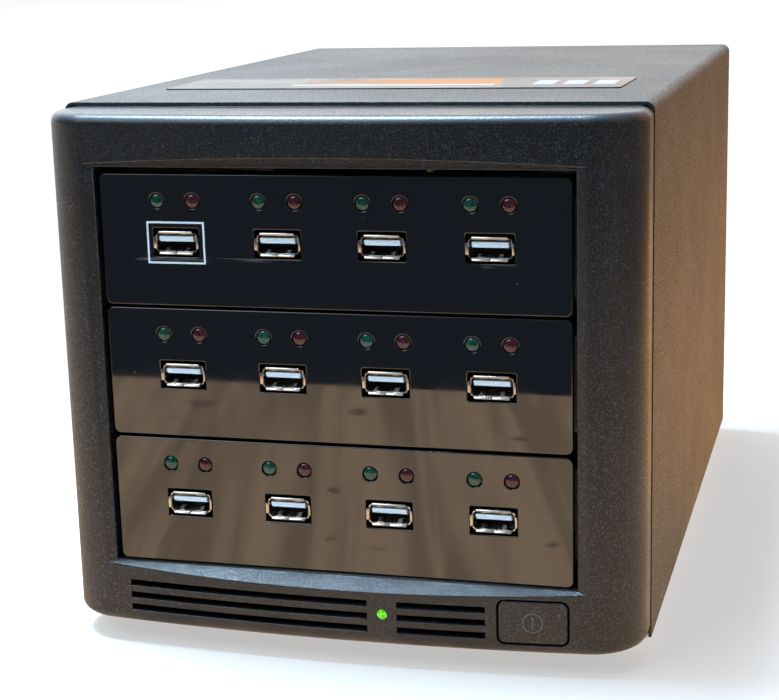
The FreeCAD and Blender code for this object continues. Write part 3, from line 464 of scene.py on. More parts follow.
def lens(name, base, glow=None):
    """A tinted indicator lens, with painted shade darkening its rim where it turns from view and a painted
    highlight of lighter cloudy patches inside.
    """
    made = Finish(name, Coat_Weight=0.6, Coat_Roughness=0.03)
    # Painted shade: the lens darkens where it turns from view.
    rim = made.add("ShaderNodeLayerWeight", {"Blend": 0.45}).outputs["Facing"]
    cloudy = made.noise(900.0)
    core = made.ramp(cloudy, 0.35, 0.7)
    # Painted highlight: lighter cloudy patches inside the lens.
    core_highlight = made.mix(core, base, tint(base, 2.4))
    made.feed(Base_Color=made.mix(rim, core_highlight, tint(base, 0.35)),
              Roughness=made.ramp(cloudy, 0.3, 0.7, 0.08, 0.2))
    if glow:
        lit = made.mix(core, tint(glow, 0.3), glow)
        # The glow also fades at the rim, as painted shade.
        made.feed(Emission_Color=made.mix(rim, lit, tint(glow, 0.05)), Emission_Strength=0.9)
    return made.material


def circuit_board(colours):
    """Solder mask with the tracks showing through it."""
    made = Finish("Circuit board")
    cells = made.cells(260.0, distance="MANHATTAN")
    tracks = made.ramp(cells["Distance"], 0.3, 0.5)
    made.feed(Base_Color=made.mix(tracks, tint(colours.board, 0.7), tint(colours.board, 1.5)),
              Roughness=made.gloss(0.24, 0.36))
    return made.bump(tracks, 0.2, 0.05 * MM)


STRIPE_ACROSS = (0.27, 0.72)
STRIPE_ALONG = (0.42, 0.86)
PINSTRIPES_ALONG = ((0.26, 0.30), (0.335, 0.355))
BLOCKS_ACROSS = ((0.80, 0.845), (0.865, 0.91), (0.93, 0.975))
BLOCKS_ALONG = (0.3, 0.7)


def label_print(colours):
    """Satin overlay in no one's design: dark ground, a stripe, two pinstripes and three blocks."""
    made = Finish("Label print", Specular_IOR_Level=0.45)
    low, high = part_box("top_label")
    here = made.split(made.place())
    x = made.ramp(here["X"], low.x, high.x, kind="LINEAR")
    y = made.ramp(here["Y"], low.y, high.y, kind="LINEAR")

    def window(across, along):
        """1 inside a rectangle given in shares of the label, and 0 outside it."""
        sides = [made.times(made.math("GREATER_THAN", value, least),
                            made.math("LESS_THAN", value, most))
                 for value, (least, most) in ((x, across), (y, along))]
        return made.times(*sides)

    fine = made.noise(2400.0)
    fade = made.ramp(x, 0.25, 0.6, 0.25, 1.0)
    dots = made.ramp(fine, 0.3, 0.6, 0.75, 1.0)
    stripe = made.times(window(STRIPE_ACROSS, STRIPE_ALONG), made.times(fade, dots))
    pins = made.plus(*(window(STRIPE_ACROSS, along) for along in PINSTRIPES_ALONG), clamp=True)
    first, second, third = (window(across, BLOCKS_ALONG) for across in BLOCKS_ACROSS)
    blocks = made.plus(first, made.plus(second, third), clamp=True)
    base = made.mix(stripe, colours.label, colours.stripe)
    base = made.mix(pins, base, (0.45, 0.40, 0.32))
    base = made.mix(blocks, base, (0.20, 0.21, 0.22))
    made.feed(Base_Color=made.masked("dust", base, (0.32, 0.31, 0.3), Amount=0.3),
              Roughness=made.plus(made.gloss(0.32, 0.4), made.times(stripe, 0.3)))
    return made.bump(fine, 0.08, 0.05 * MM)


def make_finishes(colours):
    """Every finish, by the record's slot names, and the few that only the scene needs."""
    effects.update({"grain": grain_effect(), "dust": dust_effect(), "edge": edge_effect(),
                    "handling": handling_effect(), "rolled": rolled_effect()})
    finishes.update({
        "black_steel": powder_coat(colours),
        "bezel_plastic": bezel_plastic(colours),
        "gloss_black": gloss_panel(colours),
        "nickel": plated("Nickel shell", colours.nickel, 0.2),
        "zinc_steel": sheet_steel(colours),
        "psu_steel": sheet_steel(colours),
        "zinc_screws": plated("Zinc screw", (0.62, 0.63, 0.64), 0.28),
        "brass": plated("Brass pin", (0.71, 0.60, 0.38), 0.22),
        "contact_gold": plated("Contact gold", (0.83, 0.64, 0.30), 0.2),
        "black_plastic": moulded("Black plastic", (0.013, 0.013, 0.014), 0.32, 0.5),
        "chip_black": moulded("Chip black", (0.018, 0.018, 0.02), 0.45, 0.6),
        "rubber": moulded("Rubber", (0.016, 0.016, 0.016), 0.6, 0.85, 1100.0),
        "black_screws": moulded("Black oxide", (0.02, 0.02, 0.021), 0.28, 0.42),
        "tongue_white": moulded("Tongue plastic", colours.tongue, 0.3, 0.42),
        "print_white": moulded("White print", (0.72, 0.76, 0.80), 0.4, 0.55),
        "print_grey": moulded("Icon print", (0.10, 0.11, 0.125), 0.4, 0.55),
        "led_green": lens("Green lens", colours.green),
        "led_red": lens("Red lens", colours.red),
        "light_green": lens("Lit lens", tint(colours.lit, 0.5), colours.lit),
        "circuit_board": circuit_board(colours),
        "label": label_print(colours),
    })
    for part in frame["record"]["subparts"]:
        mesh = frame["nodes"][part["node"]].data
        mesh.materials.clear()
        mesh.materials.append(finishes[part["material_slot"]])


# ---- Mesh helpers ----

CREASE = math.radians(30)
SOFT_CREASE = math.radians(40)
KNIFE_TURN = math.radians(115)
IN_PLANE = math.cos(math.radians(0.3))
FRONTAL = Matrix.Rotation(math.pi / 2, 4, "X")
FRAME_WELD = 2e-6
PLATE_WELD = 1e-7
TUBE_WELD = 1e-8
POLE_RADIUS = 1e-6
HOLE_SIDES = 40
SYMBOL_SIDES = 64
HUB_SIDES = 56
SHANK_SIDES = 16


def linked(name, data):
    """A new object in the scene."""
    made = bpy.data.objects.new(name, data)
    bpy.context.scene.collection.objects.link(made)
    return made


def placed(name, mesh, finish, nodes=(), body=CHASSIS):
    """A finished piece: it gets its finish, rides on a body and stands for nodes.
    """
    mesh.name = name
    mesh.materials.clear()
    mesh.materials.append(finishes[finish])
    piece = linked(name, mesh)
    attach(piece, body)
    if nodes:
        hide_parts(*nodes)


@contextmanager
def editing(mesh):
    """A mesh opened for editing, which is written back at the end."""
    shape = bmesh.new()
    shape.from_mesh(mesh)
    yield shape
    shape.to_mesh(mesh)
    shape.free()


def modify(stand_in, kind, **settings):
    modifier = stand_in.modifiers.new(kind, kind)
    for name, value in settings.items():
        setattr(modifier, name, value)
    return modifier


def final_mesh(stand_in):
    """The mesh of an object after its modifiers; the object itself is removed."""
    evaluated = stand_in.evaluated_get(bpy.context.evaluated_depsgraph_get())
    mesh = bpy.data.meshes.new_from_object(evaluated)
    bpy.data.objects.remove(stand_in)
    return mesh


def smooth(mesh, crease):
    mesh.polygons.foreach_set("use_smooth", [True] * len(mesh.polygons))
    mesh.set_sharp_from_angle(angle=crease)
    return mesh


def eased(mesh, edge):
    """The mesh with its outer edges rounded and its flat faces shaded flat.

    The edges of a thin wedge stay sharp, because rounding would cut the wedge away.
    """
    smooth(mesh, CREASE)
    with editing(mesh) as shape:
        weight = shape.edges.layers.float.new("bevel_weight_edge")
        for side in shape.edges:
            if side.is_convex and CREASE < side.calc_face_angle(0.0) < KNIFE_TURN:
                side[weight] = 1.0
    stand_in = linked("stand_in", mesh)
    modify(stand_in, "BEVEL", width=edge, segments=2, limit_method="WEIGHT",
           miter_outer="MITER_ARC", use_clamp_overlap=False)
    modify(stand_in, "WEIGHTED_NORMAL", keep_sharp=True)
    return final_mesh(stand_in)


def gathered(items, beside):
    """The items in groups; beside(first, item) gives the items that join an item's group."""
    seen, groups = set(), []
    for first in items:
        if first in seen:
            continue
        seen.add(first)
        group, waiting = [first], [first]
        while waiting:
            for other in beside(first, waiting.pop()):
                if other not in seen:
                    seen.add(other)
                    group.append(other)
                    waiting.append(other)
        groups.append(group)
    return groups


def in_plane(first, face):
    """The faces next to a face that lie in the first one's plane."""
    return [other for edge in face.edges for other in edge.link_faces
            if other.normal.dot(first.normal) > IN_PLANE]


def whole(region):
    """Whether a group of faces has one outline and no hole."""
    edges = {edge for face in region for edge in face.edges}
    corners = {corner for face in region for corner in face.verts}
    return len(region) > 1 and len(corners) - len(edges) + len(region) == 1


def joined_copy(node):
    """A copy of a CAD node's mesh, with its loose triangles joined into whole faces."""
    mesh = frame["nodes"][node].data.copy()
    with editing(mesh) as shape:
        bmesh.ops.remove_doubles(shape, verts=shape.verts, dist=FRAME_WELD)
        shape.normal_update()
        for region in gathered(shape.faces, in_plane):
            if whole(region):
                bmesh.utils.face_join(region)
    if "custom_normal" in mesh.attributes:
        mesh.attributes.remove(mesh.attributes["custom_normal"])
    return mesh


def island_middles(node):
    """The middle of each separate solid of a node."""
    shape = bmesh.new()
    shape.from_mesh(frame["nodes"][node].data)
    bmesh.ops.remove_doubles(shape, verts=shape.verts, dist=FRAME_WELD)
    islands = gathered(shape.verts, lambda _, vert: [edge.other_vert(vert)
                                                     for edge in vert.link_edges])
    middles = [Vector([(min(axis) + max(axis)) / 2 for axis in zip(*(v.co for v in island))])
               for island in islands]
    shape.free()
    return sorted(middles, key=lambda p: (round(p.x, 5), round(p.z, 5), round(p.y, 5)))


def dressed(node, name, finish, edge, body=CHASSIS):
    """A CAD node's shape with softened edges, standing for the node."""
    placed(name, eased(joined_copy(node), edge), finish, [node], body)


def circle(radius, sides, centre=(0.0, 0.0)):
    turns = [2 * math.pi * i / sides for i in range(sides)]
    return [(centre[0] + radius * math.cos(t), centre[1] + radius * math.sin(t)) for t in turns]


def rounded_box(width, height, corner, centre=(0.0, 0.0), steps=5):
    """Corner points of a rounded rectangle, anticlockwise."""
    points = []
    for i, (sx, sy) in enumerate(((1, 1), (-1, 1), (-1, -1), (1, -1))):
        cx, cy = sx * (width / 2 - corner), sy * (height / 2 - corner)
        for step in range(steps + 1):
            turn = math.pi / 2 * (i + step / steps)
            points.append((centre[0] + cx + corner * math.cos(turn),
                           centre[1] + cy + corner * math.sin(turn)))
    return points


def plate(outlines, thick, edge, turn=FRONTAL, place=(0, 0, 0), steps=2):
    """A flat plate with rounded edges: the first outline is its rim, the others are holes."""
    curve = bpy.data.curves.new("plate", "CURVE")
    curve.dimensions = "2D"
    curve.fill_mode = "BOTH"
    curve.extrude = max(thick / 2 - edge, 0.0)
    curve.bevel_depth = edge
    curve.bevel_resolution = steps
    curve.offset = -edge
    for outline in outlines:
        line = curve.splines.new("POLY")
        line.points.add(len(outline) - 1)
        for point, (x, y) in zip(line.points, outline):
            point.co = (x, y, 0.0, 1.0)
        line.use_cyclic_u = True
    mesh = final_mesh(linked("stand_in", curve))
    mesh.transform(Matrix.Translation(Vector(place)) @ turn)
    with editing(mesh) as shape:
        bmesh.ops.remove_doubles(shape, verts=shape.verts, dist=PLATE_WELD)
        bmesh.ops.recalc_face_normals(shape, faces=shape.faces)
    smooth(mesh, SOFT_CREASE)
    outward = turn.to_3x3() @ Vector((0, 0, 1))
    for face in mesh.polygons:
        face.use_smooth = abs(face.normal.dot(outward)) < IN_PLANE
    return mesh


def tube(sections, closed=True):
    """A mesh through rings of points; its ends are filled unless it is open."""
    mesh = bpy.data.meshes.new("tube")
    with editing(mesh) as shape:
        rings = [[shape.verts.new(point) for point in ring] for ring in sections]
        count = len(rings[0])
        for near, far in zip(rings, rings[1:]):
            for i in range(count):
                j = (i + 1) % count
                shape.faces.new((near[i], near[j], far[j], far[i]))
        if closed:
            shape.faces.new(list(reversed(rings[0])))
            shape.faces.new(rings[-1])
        bmesh.ops.recalc_face_normals(shape, faces=shape.faces)
    return mesh


def strip(low_x, high_x, profile):
    """A tube of rectangular section through (y, low z, high z) points."""
    return tube([[(low_x, y, low), (high_x, y, low), (high_x, y, high), (low_x, y, high)]
                 for y, low, high in profile])


def spun(profile, sides, along="Y"):
    """A turned solid over (distance, radius) points along an axis, closed on the axis."""
    rings = [[(x, distance, z) if along == "Y" else (x, z, distance)
              for x, z in circle(max(radius, POLE_RADIUS), sides)] for distance, radius in profile]
    return smooth(tube(rings), SOFT_CREASE)


def box_mesh(low, high):
    low, high = Vector(low), Vector(high)
    mesh = bpy.data.meshes.new("box")
    shaped = Matrix.Translation((low + high) / 2) @ Matrix.Diagonal((*(high - low), 1.0))
    with editing(mesh) as shape:
        bmesh.ops.create_cube(shape, size=1.0, matrix=shaped)
    return mesh


def joined(meshes):
    """One mesh out of several."""
    union = bpy.data.meshes.new("joined")
    with editing(union) as shape:
        for mesh in meshes:
            shape.from_mesh(mesh)
    return union


# ---- Geometry Nodes for what repeats ----

class Copies(Nodes):
    """A geometry tree that sets copies of a part on points and gives them their finish."""

    def __init__(self, name, **inputs):
        super().__init__(bpy.data.node_groups.new(name, "GeometryNodeTree"))
        inputs.update(Part="Object", Finish="Material")
        self.socket("Geometry", "OUTPUT", "Geometry")
        self.sockets = {label: self.socket(label, "INPUT", kind).identifier
                        for label, kind in inputs.items()}
        self.given = self.tree.nodes.new("NodeGroupInput").outputs

    def line(self, start, offset):
        return self.add("GeometryNodeMeshLine", {"Count": self.given["Count"],
                                                 "Start Location": start,
                                                 "Offset": offset}).outputs[0]

    def end(self, points, **more):
        part = self.add("GeometryNodeObjectInfo", {"Object": self.given["Part"]})
        copies = self.add("GeometryNodeInstanceOnPoints",
                          {"Points": points, "Instance": part.outputs["Geometry"], **more})
        real = self.add("GeometryNodeRealizeInstances", {0: copies.outputs[0]})
        painted = self.add("GeometryNodeSetMaterial",
                           {0: real.outputs[0], "Material": self.given["Finish"]})
        self.add("NodeGroupOutput", {0: painted.outputs[0]})
        return self


def row_tree():
    """A level row of one part."""
    made = Copies("Row of parts", Count="Int", First="Vector", Pitch="Float")
    step = made.add("ShaderNodeCombineXYZ", {"X": made.given["Pitch"]})
    return made.end(made.line(made.given["First"], step.outputs[0]))


def wheel_tree():
    """Copies of one part turned evenly round an axis along Y."""
    made = Copies("Wheel of parts", Count="Int", Centre="Vector")
    index = made.add("GeometryNodeInputIndex").outputs[0]
    share = made.math("DIVIDE", index, made.given["Count"])
    turn = made.add("ShaderNodeCombineXYZ", {"Y": made.times(share, 2 * math.pi)})
    return made.end(made.line(made.given["Centre"], (0.0, 0.0, 0.0)), Rotation=turn.outputs[0])


def spot_tree():
    """Copies of one part on the points of the mesh that carries the tree."""
    made = Copies("Parts on spots", Spots="Geometry")
    return made.end(made.given["Spots"])


def repeated(kind, part_mesh, finish, spots=(), **inputs):
    """The plain mesh that one of the trees makes out of copies of a part."""
    carrier_mesh = bpy.data.meshes.new("carrier")
    carrier_mesh.from_pydata(spots, [], [])
    part, carrier = linked("part", part_mesh), linked("carrier", carrier_mesh)
    modifier = modify(carrier, "NODES", node_group=trees[kind].tree)
    inputs.update(Part=part, Finish=finishes[finish])
    for label, value in inputs.items():
        modifier[trees[kind].sockets[label]] = value
    mesh = final_mesh(carrier)
    bpy.data.objects.remove(part)
    return mesh


# ---- Operators ----

class DUPLICATOR_OT_finishes(bpy.types.Operator):
    """Mix every finish and put it on the frame's own parts"""

    bl_idname = "duplicator.finishes"
    bl_label = "Finishes"

    def execute(self, context):
        make_finishes(context.scene.duplicator_colours)
        trees.update({"row": row_tree(), "wheel": wheel_tree(), "spots": spot_tree()})
        return {"FINISHED"}


class DUPLICATOR_OT_case_metal(bpy.types.Operator):
    """Dress the cover, the floor and the back"""

    bl_idname = "duplicator.case_metal"
    bl_label = "Case metal"

    def execute(self, context):
        edge = context.scene.duplicator_sizes.folded_edge
        dressed("outer_cover", "cover_skin", "black_steel", edge)
        dressed("base_pan", "floor_pan_skin", "zinc_steel", edge)
        dressed("rear_panel", "back_skin", "zinc_steel", edge)
        return {"FINISHED"}


class DUPLICATOR_OT_bezel(bpy.types.Operator):
    """Dress the moulded bezel"""

    bl_idname = "duplicator.bezel"
    bl_label = "Bezel"

    def execute(self, context):
        edge = context.scene.duplicator_sizes.moulded_edge
        dressed("front_bezel", "bezel_skin", "bezel_plastic", edge)
        return {"FINISHED"}


PORT_CUT_CORNER = 0.5 * MM
PRINT_THICK = 0.04 * MM


def panel_mesh(bay, sizes):
    """A port panel's plate with its port cut-outs and its light holes."""
    low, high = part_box(f"port_panel_{bay}")
    mid = (low + high) / 2
    count, first, pitch, level, _ = port_row(bay)
    lights = middle_of(f"green_leds_{bay}").z
    outlines = [rounded_box(high.x - low.x, high.z - low.z, sizes.panel_corner, (mid.x, mid.z))]
    for i in range(count):
        x = first + i * pitch
        outlines.append(rounded_box(sizes.port_cut_width, sizes.port_cut_height,
                                    PORT_CUT_CORNER, (x, level), 3))
        for side in (-1, 1):
            place = (x + side * LED_SPREAD, lights)
            outlines.append(circle(sizes.light_hole, HOLE_SIDES, place))
    return plate(outlines, sizes.panel_wall, sizes.panel_edge,
                 place=(0, low.y + sizes.panel_wall / 2, 0), steps=3)


class DUPLICATOR_OT_port_panels(bpy.types.Operator):
    """Build the three gloss panels and the printed frame round the first port"""

    bl_idname = "duplicator.port_panels"
    bl_label = "Port panels"

    def execute(self, context):
        sizes = context.scene.duplicator_sizes
        for bay in BAYS:
            placed(f"panel_skin_{bay}", panel_mesh(bay, sizes), "gloss_black",
                   [f"port_panel_{bay}"])
        _, first, _, level, _ = port_row("top")
        outlines = [rounded_box(width * MM, height * MM, corner * MM, (first, level), 2)
                    for width, height, corner in ((19.0, 13.2, 0.2), (17.8, 12.0, 0.1))]
        print_mesh = plate(outlines, PRINT_THICK, 0.0,
                           place=(0, PANEL_FRONT - PRINT_THICK / 2, 0))
        placed("first_port_frame", print_mesh, "print_white")
        return {"FINISHED"}


SHELL_BACK = 14.0 * MM
SHELL_LEAST_CORNER = 0.2 * MM
TONGUE_BACK = 9.6 * MM


def shell_ring(sizes, y, inset):
    """A ring of a shell's outline at depth y, drawn in by inset."""
    outline = rounded_box(sizes.shell_width - 2 * inset, sizes.shell_height - 2 * inset,
                          max(sizes.shell_corner - inset, SHELL_LEAST_CORNER), steps=6)
    return [(x, y, z) for x, z in outline]


def flared_lip(sizes, start, end, reach, turn):
    """A lip bent outwards from the shell's mouth, on the side that turn looks to (0 is the roof).

    Its ends draw in towards the mouth, except the one beside the floor's seam.
    """
    wall, steps, seam_zone, taper = sizes.shell_wall, 5, 1 * MM, 0.45 * MM
    rings = []
    for i in range(steps + 1):
        t = i / steps
        y = sizes.flare_depth * (1 - t)
        rise = sizes.flare_rise * t * t
        near = start + taper * t * (start < -seam_zone)
        far = end - taper * t * (end > seam_zone)
        low, high = reach - wall + rise, reach + rise
        back = y + wall * 0.75 * t
        rings.append([(near, y, low), (far, y, low), (far, back, high), (near, back, high)])
    lip = eased(tube(rings), 0.05 * MM)
    lip.transform(Matrix.Rotation(turn, 4, "Y"))
    return lip


def spring_finger(sizes, x, side):
    """A bowed spring strip inside a shell: side -1 is on its floor, 1 on its roof."""
    base = side * (sizes.shell_height / 2 - sizes.shell_wall)
    half, thick = 0.8 * MM, 0.16 * MM
    share = 0.3 if side > 0 else 1.0
    bow = ((0.9, 0.0), (1.6, 0.05), (2.4, 0.32), (3.1, 0.55), (3.8, 0.6), (4.6, 0.5),
           (6.5, 0.2), (8.5, 0.0))
    profile = []
    for y, rise in bow:
        near = base - side * rise * share * MM
        profile.append((y * MM, near, near - side * thick))
    return strip(x - half, x + half, profile)


def shell_mesh(sizes):
    """One port's shell: walls, flared lips and spring fingers; its mouth is at y 0."""
    depths = (sizes.flare_depth, SHELL_BACK)
    rings = [shell_ring(sizes, y, 0.0) for y in reversed(depths)]
    rings += [shell_ring(sizes, y, sizes.shell_wall) for y in depths]
    wall = tube(rings + rings[:1], closed=False)
    with editing(wall) as shape:
        bmesh.ops.remove_doubles(shape, verts=shape.verts, dist=TUBE_WELD)
        bmesh.ops.recalc_face_normals(shape, faces=shape.faces)
    top, side = sizes.shell_height / 2, sizes.shell_width / 2
    across, along = side - sizes.shell_corner, top - sizes.shell_corner
    seam = 0.12 * MM
    lips = [flared_lip(sizes, *lip) for lip in (
        (-across, across, top, 0.0), (-across, -seam, top, math.pi), (seam, across, top, math.pi),
        (-along, along, side, math.pi / 2), (-along, along, side, -math.pi / 2))]
    fingers = [spring_finger(sizes, x * MM, side) for x in (-3.1, 3.1) for side in (-1, 1)]
    return smooth(joined([wall] + lips + fingers), SOFT_CREASE)


def tongue_mesh(sizes):
    """A port's tongue, chamfered at its front; the shell's mouth is at y 0."""
    half = sizes.tongue_width / 2
    low = sizes.tongue_raise - sizes.tongue_height / 2
    high = low + sizes.tongue_height
    front, slope, lift, nick = 0.8 * MM, 0.9 * MM, 0.75 * MM, 0.1 * MM
    side_view = [(TONGUE_BACK, low), (front + slope, low), (front, low + lift),
                 (front, high - nick), (front + nick, high), (TONGUE_BACK, high)]
    return eased(tube([[(x, y, z) for y, z in side_view] for x in (-half, half)]), 0.08 * MM)


def contact_mesh(sizes):
    """The four spring contacts under a tongue."""
    under = sizes.tongue_raise - sizes.tongue_height / 2
    half = sizes.contact_width / 2
    profile = [(y * MM, under - drop * MM - 0.02 * MM, under + 0.05 * MM)
               for y, drop in ((1.9, 0.0), (2.3, 0.12), (5.0, 0.2), (9.5, 0.1))]
    middles = [(i - 1.5) * sizes.contact_pitch for i in range(4)]
    return joined([strip(x - half, x + half, profile) for x in middles])


class DUPLICATOR_OT_usb_ports(bpy.types.Operator):
    """Build the rows of port shells, tongues, contacts and backs; the backs are black as painted shade deep in the
    mouths
    """

    bl_idname = "duplicator.usb_ports"
    bl_label = "USB ports"

    def execute(self, context):
        sizes = context.scene.duplicator_sizes
        x = sizes.shell_width / 2 - sizes.shell_wall
        z = sizes.shell_height / 2 - sizes.shell_wall
        # The tongue's back block is black, a painted shade for the dark inside of the port.
        back = box_mesh((-x, TONGUE_BACK, -z), (x, SHELL_BACK - 0.1 * MM, z))
        parts = (
            ("port_shells", shell_mesh(sizes), "nickel", "usb_shells"),
            ("port_tongues", tongue_mesh(sizes), "tongue_white", "usb_tongues"),
            ("port_contacts", contact_mesh(sizes), "contact_gold", None),
            ("port_backs", eased(back, 0.1 * MM), "black_plastic", None),
        )
        for bay in BAYS:
            count, first, pitch, level, mouth = port_row(bay)
            for name, mesh, finish, node in parts:
                row = repeated("row", mesh, finish, Count=count, Pitch=pitch,
                               First=(first, mouth, level))
                placed(f"{name}_{bay}", row, finish, [f"{node}_{bay}"] if node else ())
        return {"FINISHED"}


def lens_dome(radius, crown, depth):
    """A domed lens with its crown at y 0."""
    steps = 7
    turns = [math.pi / 2 * i / steps for i in range(1, steps + 1)]
    dome = [(crown * (1 - math.cos(turn)), radius * math.sin(turn)) for turn in turns]
    return spun([(0.0, 0.0)] + dome + [(depth, radius)], HOLE_SIDES)


class DUPLICATOR_OT_indicators(bpy.types.Operator):
    """Build the rows of indicator lenses and the lit power light"""

    bl_idname = "duplicator.indicators"
    bl_label = "Indicator lights"

    def execute(self, context):
        sizes = context.scene.duplicator_sizes
        for bay in BAYS:
            count, first, pitch, _, _ = port_row(bay)
            for shade, side in (("green", -1), ("red", 1)):
                node, finish = f"{shade}_leds_{bay}", f"led_{shade}"
                low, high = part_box(node)
                dome = lens_dome(sizes.light_radius, 0.9 * MM, high.y - low.y)
                row = repeated("row", dome, finish, Count=count, Pitch=pitch,
                               First=(first + side * LED_SPREAD, low.y, (low.z + high.z) / 2))
                placed(f"{shade}_lenses_{bay}", row, finish, [node])
        low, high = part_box("power_light")
        dome = lens_dome((high.x - low.x) / 2, 0.5 * MM, high.y - low.y)
        dome.transform(Matrix.Translation(((low.x + high.x) / 2, low.y, (low.z + high.z) / 2)))
        placed("power_lens", dome, "light_green", ["power_light"])
        return {"FINISHED"}


SYMBOL_THICK = 0.1 * MM
SYMBOL_PROUD = 0.03 * MM
SYMBOL_BAR_SHARE = 1.15


def lie_on_front(mesh, node, proud):
    """Moves each point of a flat mesh onto the front of a CAD node."""
    source = frame["nodes"][node].data
    target = BVHTree.FromPolygons([v.co for v in source.vertices],
                                  [p.vertices for p in source.polygons])
    for vertex in mesh.vertices:
        start = Vector((vertex.co.x, -1.0, vertex.co.z))
        place = target.ray_cast(start, Vector((0, 1, 0)))[0]
        if place is None:
            raise RuntimeError(f"{node} has no front at {tuple(start)}")
        vertex.co.y += place.y - proud


class DUPLICATOR_OT_power_button(bpy.types.Operator):
    """Dress the power button and print its symbol"""

    bl_idname = "duplicator.power_button"
    bl_label = "Power button"

    def execute(self, context):
        sizes = context.scene.duplicator_sizes
        dressed("power_button", "button_cap", "bezel_plastic", sizes.button_edge, "power_button")
        middle = middle_of("power_button")
        centre = (middle.x, middle.z)
        radius, stroke = sizes.icon_radius, sizes.icon_stroke
        rings = [circle(reach, SYMBOL_SIDES, centre) for reach in (radius, radius - stroke)]
        bar = rounded_box(stroke, radius * SYMBOL_BAR_SHARE, stroke * 0.4, centre, 3)
        symbol = joined([plate(outlines, SYMBOL_THICK, 0.0) for outlines in (rings, [bar])])
        lie_on_front(symbol, "power_button", SYMBOL_PROUD)
        placed("button_symbol", symbol, "print_grey", body="power_button")
        return {"FINISHED"}


class DUPLICATOR_OT_top_label(bpy.types.Operator):
    """Build the label on the top"""

    bl_idname = "duplicator.top_label"
    bl_label = "Top label"

    def execute(self, context):
        low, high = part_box("top_label")
        mid = (low + high) / 2
        outline = rounded_box(high.x - low.x, high.y - low.y, 1.5 * MM, (mid.x, mid.y))
        mesh = plate([outline], high.z - low.z, 0.12 * MM, turn=Matrix.Identity(4),
                     place=(0, 0, mid.z))
        placed("label_skin", mesh, "label", ["top_label"])
        return {"FINISHED"}


HUB_SHARE = 0.44
BLADE_REACH = 0.985
BLADE_DEPTH = 0.78


def blade_mesh(fans, hub, tip, depth):
    """A swept and twisted blade from inside the hub to the tip, with its axis along Y."""
    steps = 8
    root = hub * 0.96
    rings = []
    for i in range(steps + 1):
        t = i / steps
        radius = root + (tip - root) * t
        twist = fans.root_pitch + (fans.tip_pitch - fans.root_pitch) * t
        chord = depth / math.cos(twist)
        ring = []
        for along, thick in ((-0.5, 0.25), (0.0, 0.5), (0.5, 0.15), (0.5, -0.15), (0.0, -0.5),
                             (-0.5, -0.25)):
            along, thick = along * chord, thick * fans.blade_wall
            sway = along * math.sin(twist) + thick * math.cos(twist)
            y = along * math.cos(twist) - thick * math.sin(twist)
            turn = fans.sweep * t * t + sway / radius
            ring.append((radius * math.sin(turn), y, radius * math.cos(turn)))
        rings.append(ring)
    return smooth(tube(rings), math.radians(50))


def hub_mesh(front, back, radius):
    """A fan's hub with eased rims, from its front Y to its back Y."""
    profile = [(back, 0.0), (back, radius * 0.86), (back - 0.6 * MM, radius * 0.97),
               (back - 1.4 * MM, radius), (front + 0.4 * MM, radius), (front, radius * 0.97),
               (front, 0.0)]
    return spun(profile, HUB_SIDES)


class DUPLICATOR_OT_fans(bpy.types.Operator):
    """Build both rotors and dress the fans' frames"""

    bl_idname = "duplicator.fans"
    bl_label = "Fans"

    def execute(self, context):
        fans = context.scene.duplicator_fans
        edge = context.scene.duplicator_sizes.fitting_edge
        for place in ("case", "psu"):
            node = f"{place}_fan_rotor"
            low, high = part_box(node)
            centre = next(Vector(joint["pos_m"]) for joint in frame["joints"]
                          if joint["name"] == f"{place}_fan_spin")
            tip = high.x - centre.x
            hub_radius = tip * HUB_SHARE
            blade = blade_mesh(fans, hub_radius, tip * BLADE_REACH,
                               (high.y - low.y) * BLADE_DEPTH)
            blades = repeated("wheel", blade, "black_plastic", Count=fans.blades,
                              Centre=(centre.x, (low.y + high.y) / 2, centre.z))
            hub = hub_mesh(low.y, high.y, hub_radius)
            hub.transform(Matrix.Translation((centre.x, 0, centre.z)))
            rotor = smooth(joined([blades, hub]), SOFT_CREASE)
            placed(f"{place}_rotor", rotor, "black_plastic", [node], node)
            dressed(f"{place}_fan_frame", f"{place}_fan_housing", "black_plastic", edge)
        return {"FINISHED"}


class DUPLICATOR_OT_rear_power(bpy.types.Operator):
    """Dress the power supply's case, the mains inlet and the rocker"""

    bl_idname = "duplicator.rear_power"
    bl_label = "Rear power fittings"

    def execute(self, context):
        sizes = context.scene.duplicator_sizes
        edge = sizes.fitting_edge
        dressed("psu_case", "supply_box", "psu_steel", sizes.folded_edge)
        dressed("power_inlet", "inlet_body", "black_plastic", edge)
        dressed("inlet_pins", "inlet_blades", "brass", edge)
        dressed("rocker_frame", "rocker_surround", "black_plastic", edge)
        dressed("power_rocker", "rocker_key", "black_plastic", edge, "power_rocker")
        return {"FINISHED"}


SCREW_HEAD_RADIUS = 3.1 * MM
SHANK_RADIUS = 1.4 * MM


